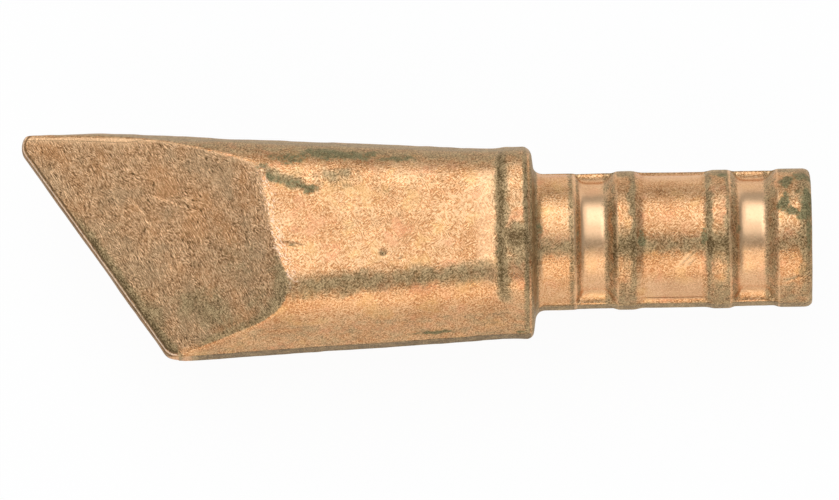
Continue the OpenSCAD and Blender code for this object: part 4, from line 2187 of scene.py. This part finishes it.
# Each patch: what it is, its middle, length, width, strength, turn, and how far its middle is clear.
STAINS = (
    Stain(Mask.VERDIGRIS, -77.6, 8.9, 11.5, 1.2, 1.0, 0.7, 60.0),
    Stain(Mask.VERDIGRIS, -76.9, 7.6, 11.9, 1.5, 0.8, 0.75, -60.0),
    Stain(Mask.VERDIGRIS, -75.0, 6.7, 12.0, 2.2, 0.8, 0.7, -15.0),
    Stain(Mask.VERDIGRIS, -72.8, 6.1, 12.0, 1.8, 0.7, 0.6, -15.0),
    Stain(Mask.VERDIGRIS, -70.8, 5.5, 12.0, 1.4, 0.8, 0.75, 25.0),
    Stain(Mask.FILM, -76.6, 7.8, 11.8, 2.2, 1.3, 0.85, -50.0),
    Stain(Mask.FILM, -73.4, 6.4, 12.0, 3.8, 1.3, 0.8, -18.0),
    Stain(Mask.VERDIGRIS, -75.0, 10.5, 10.7, 4.4, 1.3, 0.8, -4.0),
    Stain(Mask.VERDIGRIS, -66.0, 10.7, 10.1, 7.0, 1.8, 0.95, -4.0),
    Stain(Mask.VERDIGRIS, -58.5, 9.9, 10.4, 4.0, 1.1, 0.85, -4.0),
    Stain(Mask.VERDIGRIS, -54.0, -13.75, 3.2, 4.0, 0.6, 1.0, 3.0),
    Stain(Mask.VERDIGRIS, -41.8, -13.6, 2.1, 1.2, 0.6, 1.0),
    Stain(Mask.VERDIGRIS, -44.6, -4.4, 12.2, 0.8, 1.3, 0.55),
    Stain(Mask.VERDIGRIS, -38.6, -0.7, 10.0, 0.7, 1.4, 0.7),
    Stain(Mask.VERDIGRIS, -33.2, -1.1, 9.0, 0.55, 0.8, 0.7),
    Stain(Mask.VERDIGRIS, -29.0, -1.3, 8.3, 0.55, 0.8, 0.65),
    Stain(Mask.VERDIGRIS, -24.2, -2.2, 8.9, 0.65, 1.2, 0.85),
    Stain(Mask.VERDIGRIS, -15.2, -2.0, 8.9, 0.8, 1.3, 0.95),
    Stain(Mask.VERDIGRIS, -10.4, -1.0, 8.6, 0.5, 0.9, 0.7),
    Stain(Mask.VERDIGRIS, -12.6, 7.9, 5.8, 1.3, 1.3, 0.85),
    Stain(Mask.VERDIGRIS, -3.3, 6.3, 7.5, 1.2, 1.8, 1.1, 20.0),
    Stain(Mask.VERDIGRIS, -3.8, 3.4, 9.2, 0.95, 2.0, 1.1, -10.0),
    Stain(Mask.VERDIGRIS, -2.9, 1.5, 9.7, 1.4, 1.0, 1.1, -30.0),
    Stain(Mask.VERDIGRIS, -1.4, 0.9, 9.8, 1.4, 0.9, 1.0),
    Stain(Mask.VERDIGRIS, -0.8, 3.0, 9.3, 0.8, 2.6, 1.0),
    Stain(Mask.VERDIGRIS, -1.5, 7.4, 6.4, 1.7, 1.8, 0.9),
    Stain(Mask.VERDIGRIS, -2.0, 4.6, 8.6, 0.8, 0.7, 0.8, 30.0),
    Stain(Mask.VERDIGRIS, -0.5, -2.0, 9.6, 0.5, 2.6, 0.75),
    Stain(Mask.FILM, -2.4, 3.6, 9.1, 2.8, 3.6, 0.5),
    Stain(Mask.FILM, -67.4, 7.3, 11.9, 5.6, 2.0, 0.6, -8.0),
    Stain(Mask.FILM, -60.5, 5.0, 12.0, 2.6, 1.0, 0.36, -20.0),
    Stain(Mask.FILM, -55.0, 6.6, 12.0, 11.0, 2.4, 0.25, -3.0),
    # Darker where the lettering stands, which is left off: painted shade of the lettering.
    Stain(Mask.FILM, -62.0, 0.5, 12.0, 9.0, 3.0, 0.22, 12.0),
    Stain(Mask.FILM, -41.9, -3.0, 12.8, 2.8, 3.9, 0.98),
    Stain(Mask.FILM, -46.2, -6.5, 12.0, 2.6, 2.0, 0.5),
    Stain(Mask.FILM, -94.0, -9.4, 1.8, 4.6, 2.6, 0.68, -56.0),
    Stain(Mask.FILM, -86.0, -10.2, 5.0, 8.0, 4.0, 0.68, -20.0),
    Stain(Mask.FILM, -79.1, -9.9, 8.9, 4.6, 2.4, 0.45, 40.0),
    Stain(Mask.FILM, -81.8, -4.0, 8.7, 6.5, 3.6, 0.4, -56.0),
    # A long dark band along the head's lower roll: partly tarnish, partly painted dark reflection.
    Stain(Mask.FILM, -66.0, -8.4, 11.5, 14.0, 1.9, 0.72, 4.0),
    Stain(Mask.FILM, -52.0, -7.45, 11.6, 13.0, 1.8, 0.7, 4.0),
    Stain(Mask.FILM, -72.0, -9.4, 11.0, 4.0, 2.2, 0.55, 10.0),
    Stain(Mask.VERDIGRIS, -70.0, 9.9, -10.9, 5.0, 0.9, 0.75, 4.0),
    Stain(Mask.VERDIGRIS, -49.0, -11.6, -8.4, 3.0, 0.8, 0.75, -4.0),
    Stain(Mask.VERDIGRIS, -15.0, 1.4, -8.9, 0.8, 1.4, 0.85),
    Stain(Mask.VERDIGRIS, -24.3, -1.8, -8.9, 0.7, 1.2, 0.8),
    Stain(Mask.VERDIGRIS, -2.4, -3.6, -9.0, 1.8, 2.4, 0.85, 0.0, 0.6),
    Stain(Mask.FILM, -66.0, 3.0, -12.0, 6.0, 2.2, 0.4, 14.0),
    Stain(Mask.FILM, -52.0, -5.0, -12.0, 3.0, 2.0, 0.4, -24.0),
    Stain(Mask.FILM, -41.9, 2.4, -12.8, 2.8, 3.6, 0.75),
    Stain(Mask.FILM, -86.0, -11.0, -5.0, 6.0, 2.2, 0.5, -25.0),
    Stain(Mask.FILM, -82.0, 2.0, -9.4, 6.5, 3.6, 0.32, -56.0),
)
FINISHES = (
    CopperFinish(Slot.GROUND),
    CopperFinish(Slot.FORGED),
    CopperFinish(Slot.BRIGHT, deep=srgb(178, 125, 81), mid=srgb(212, 157, 108)),
    CopperFinish(Slot.DULLED),
)


def main() -> None:
    """Build the forging's sections, dress them, and set up the studio."""
    logging.basicConfig(level=logging.INFO, format="%(name)s: %(message)s")
    at = Stations.from_frame()
    head = ChiselHead(at)
    forging = Forging(at, head, Collar(at, head), RibbedShank(at), DENTS, STAINS)
    skin = Skin(forging)
    finishes = {finish.slot: finish.material() for finish in FINISHES}
    for assembly in forging.assemblies:
        assembly.dress(assembly.build(skin), finishes)
    Studio().build()


if __name__ == "__main__":
    main()
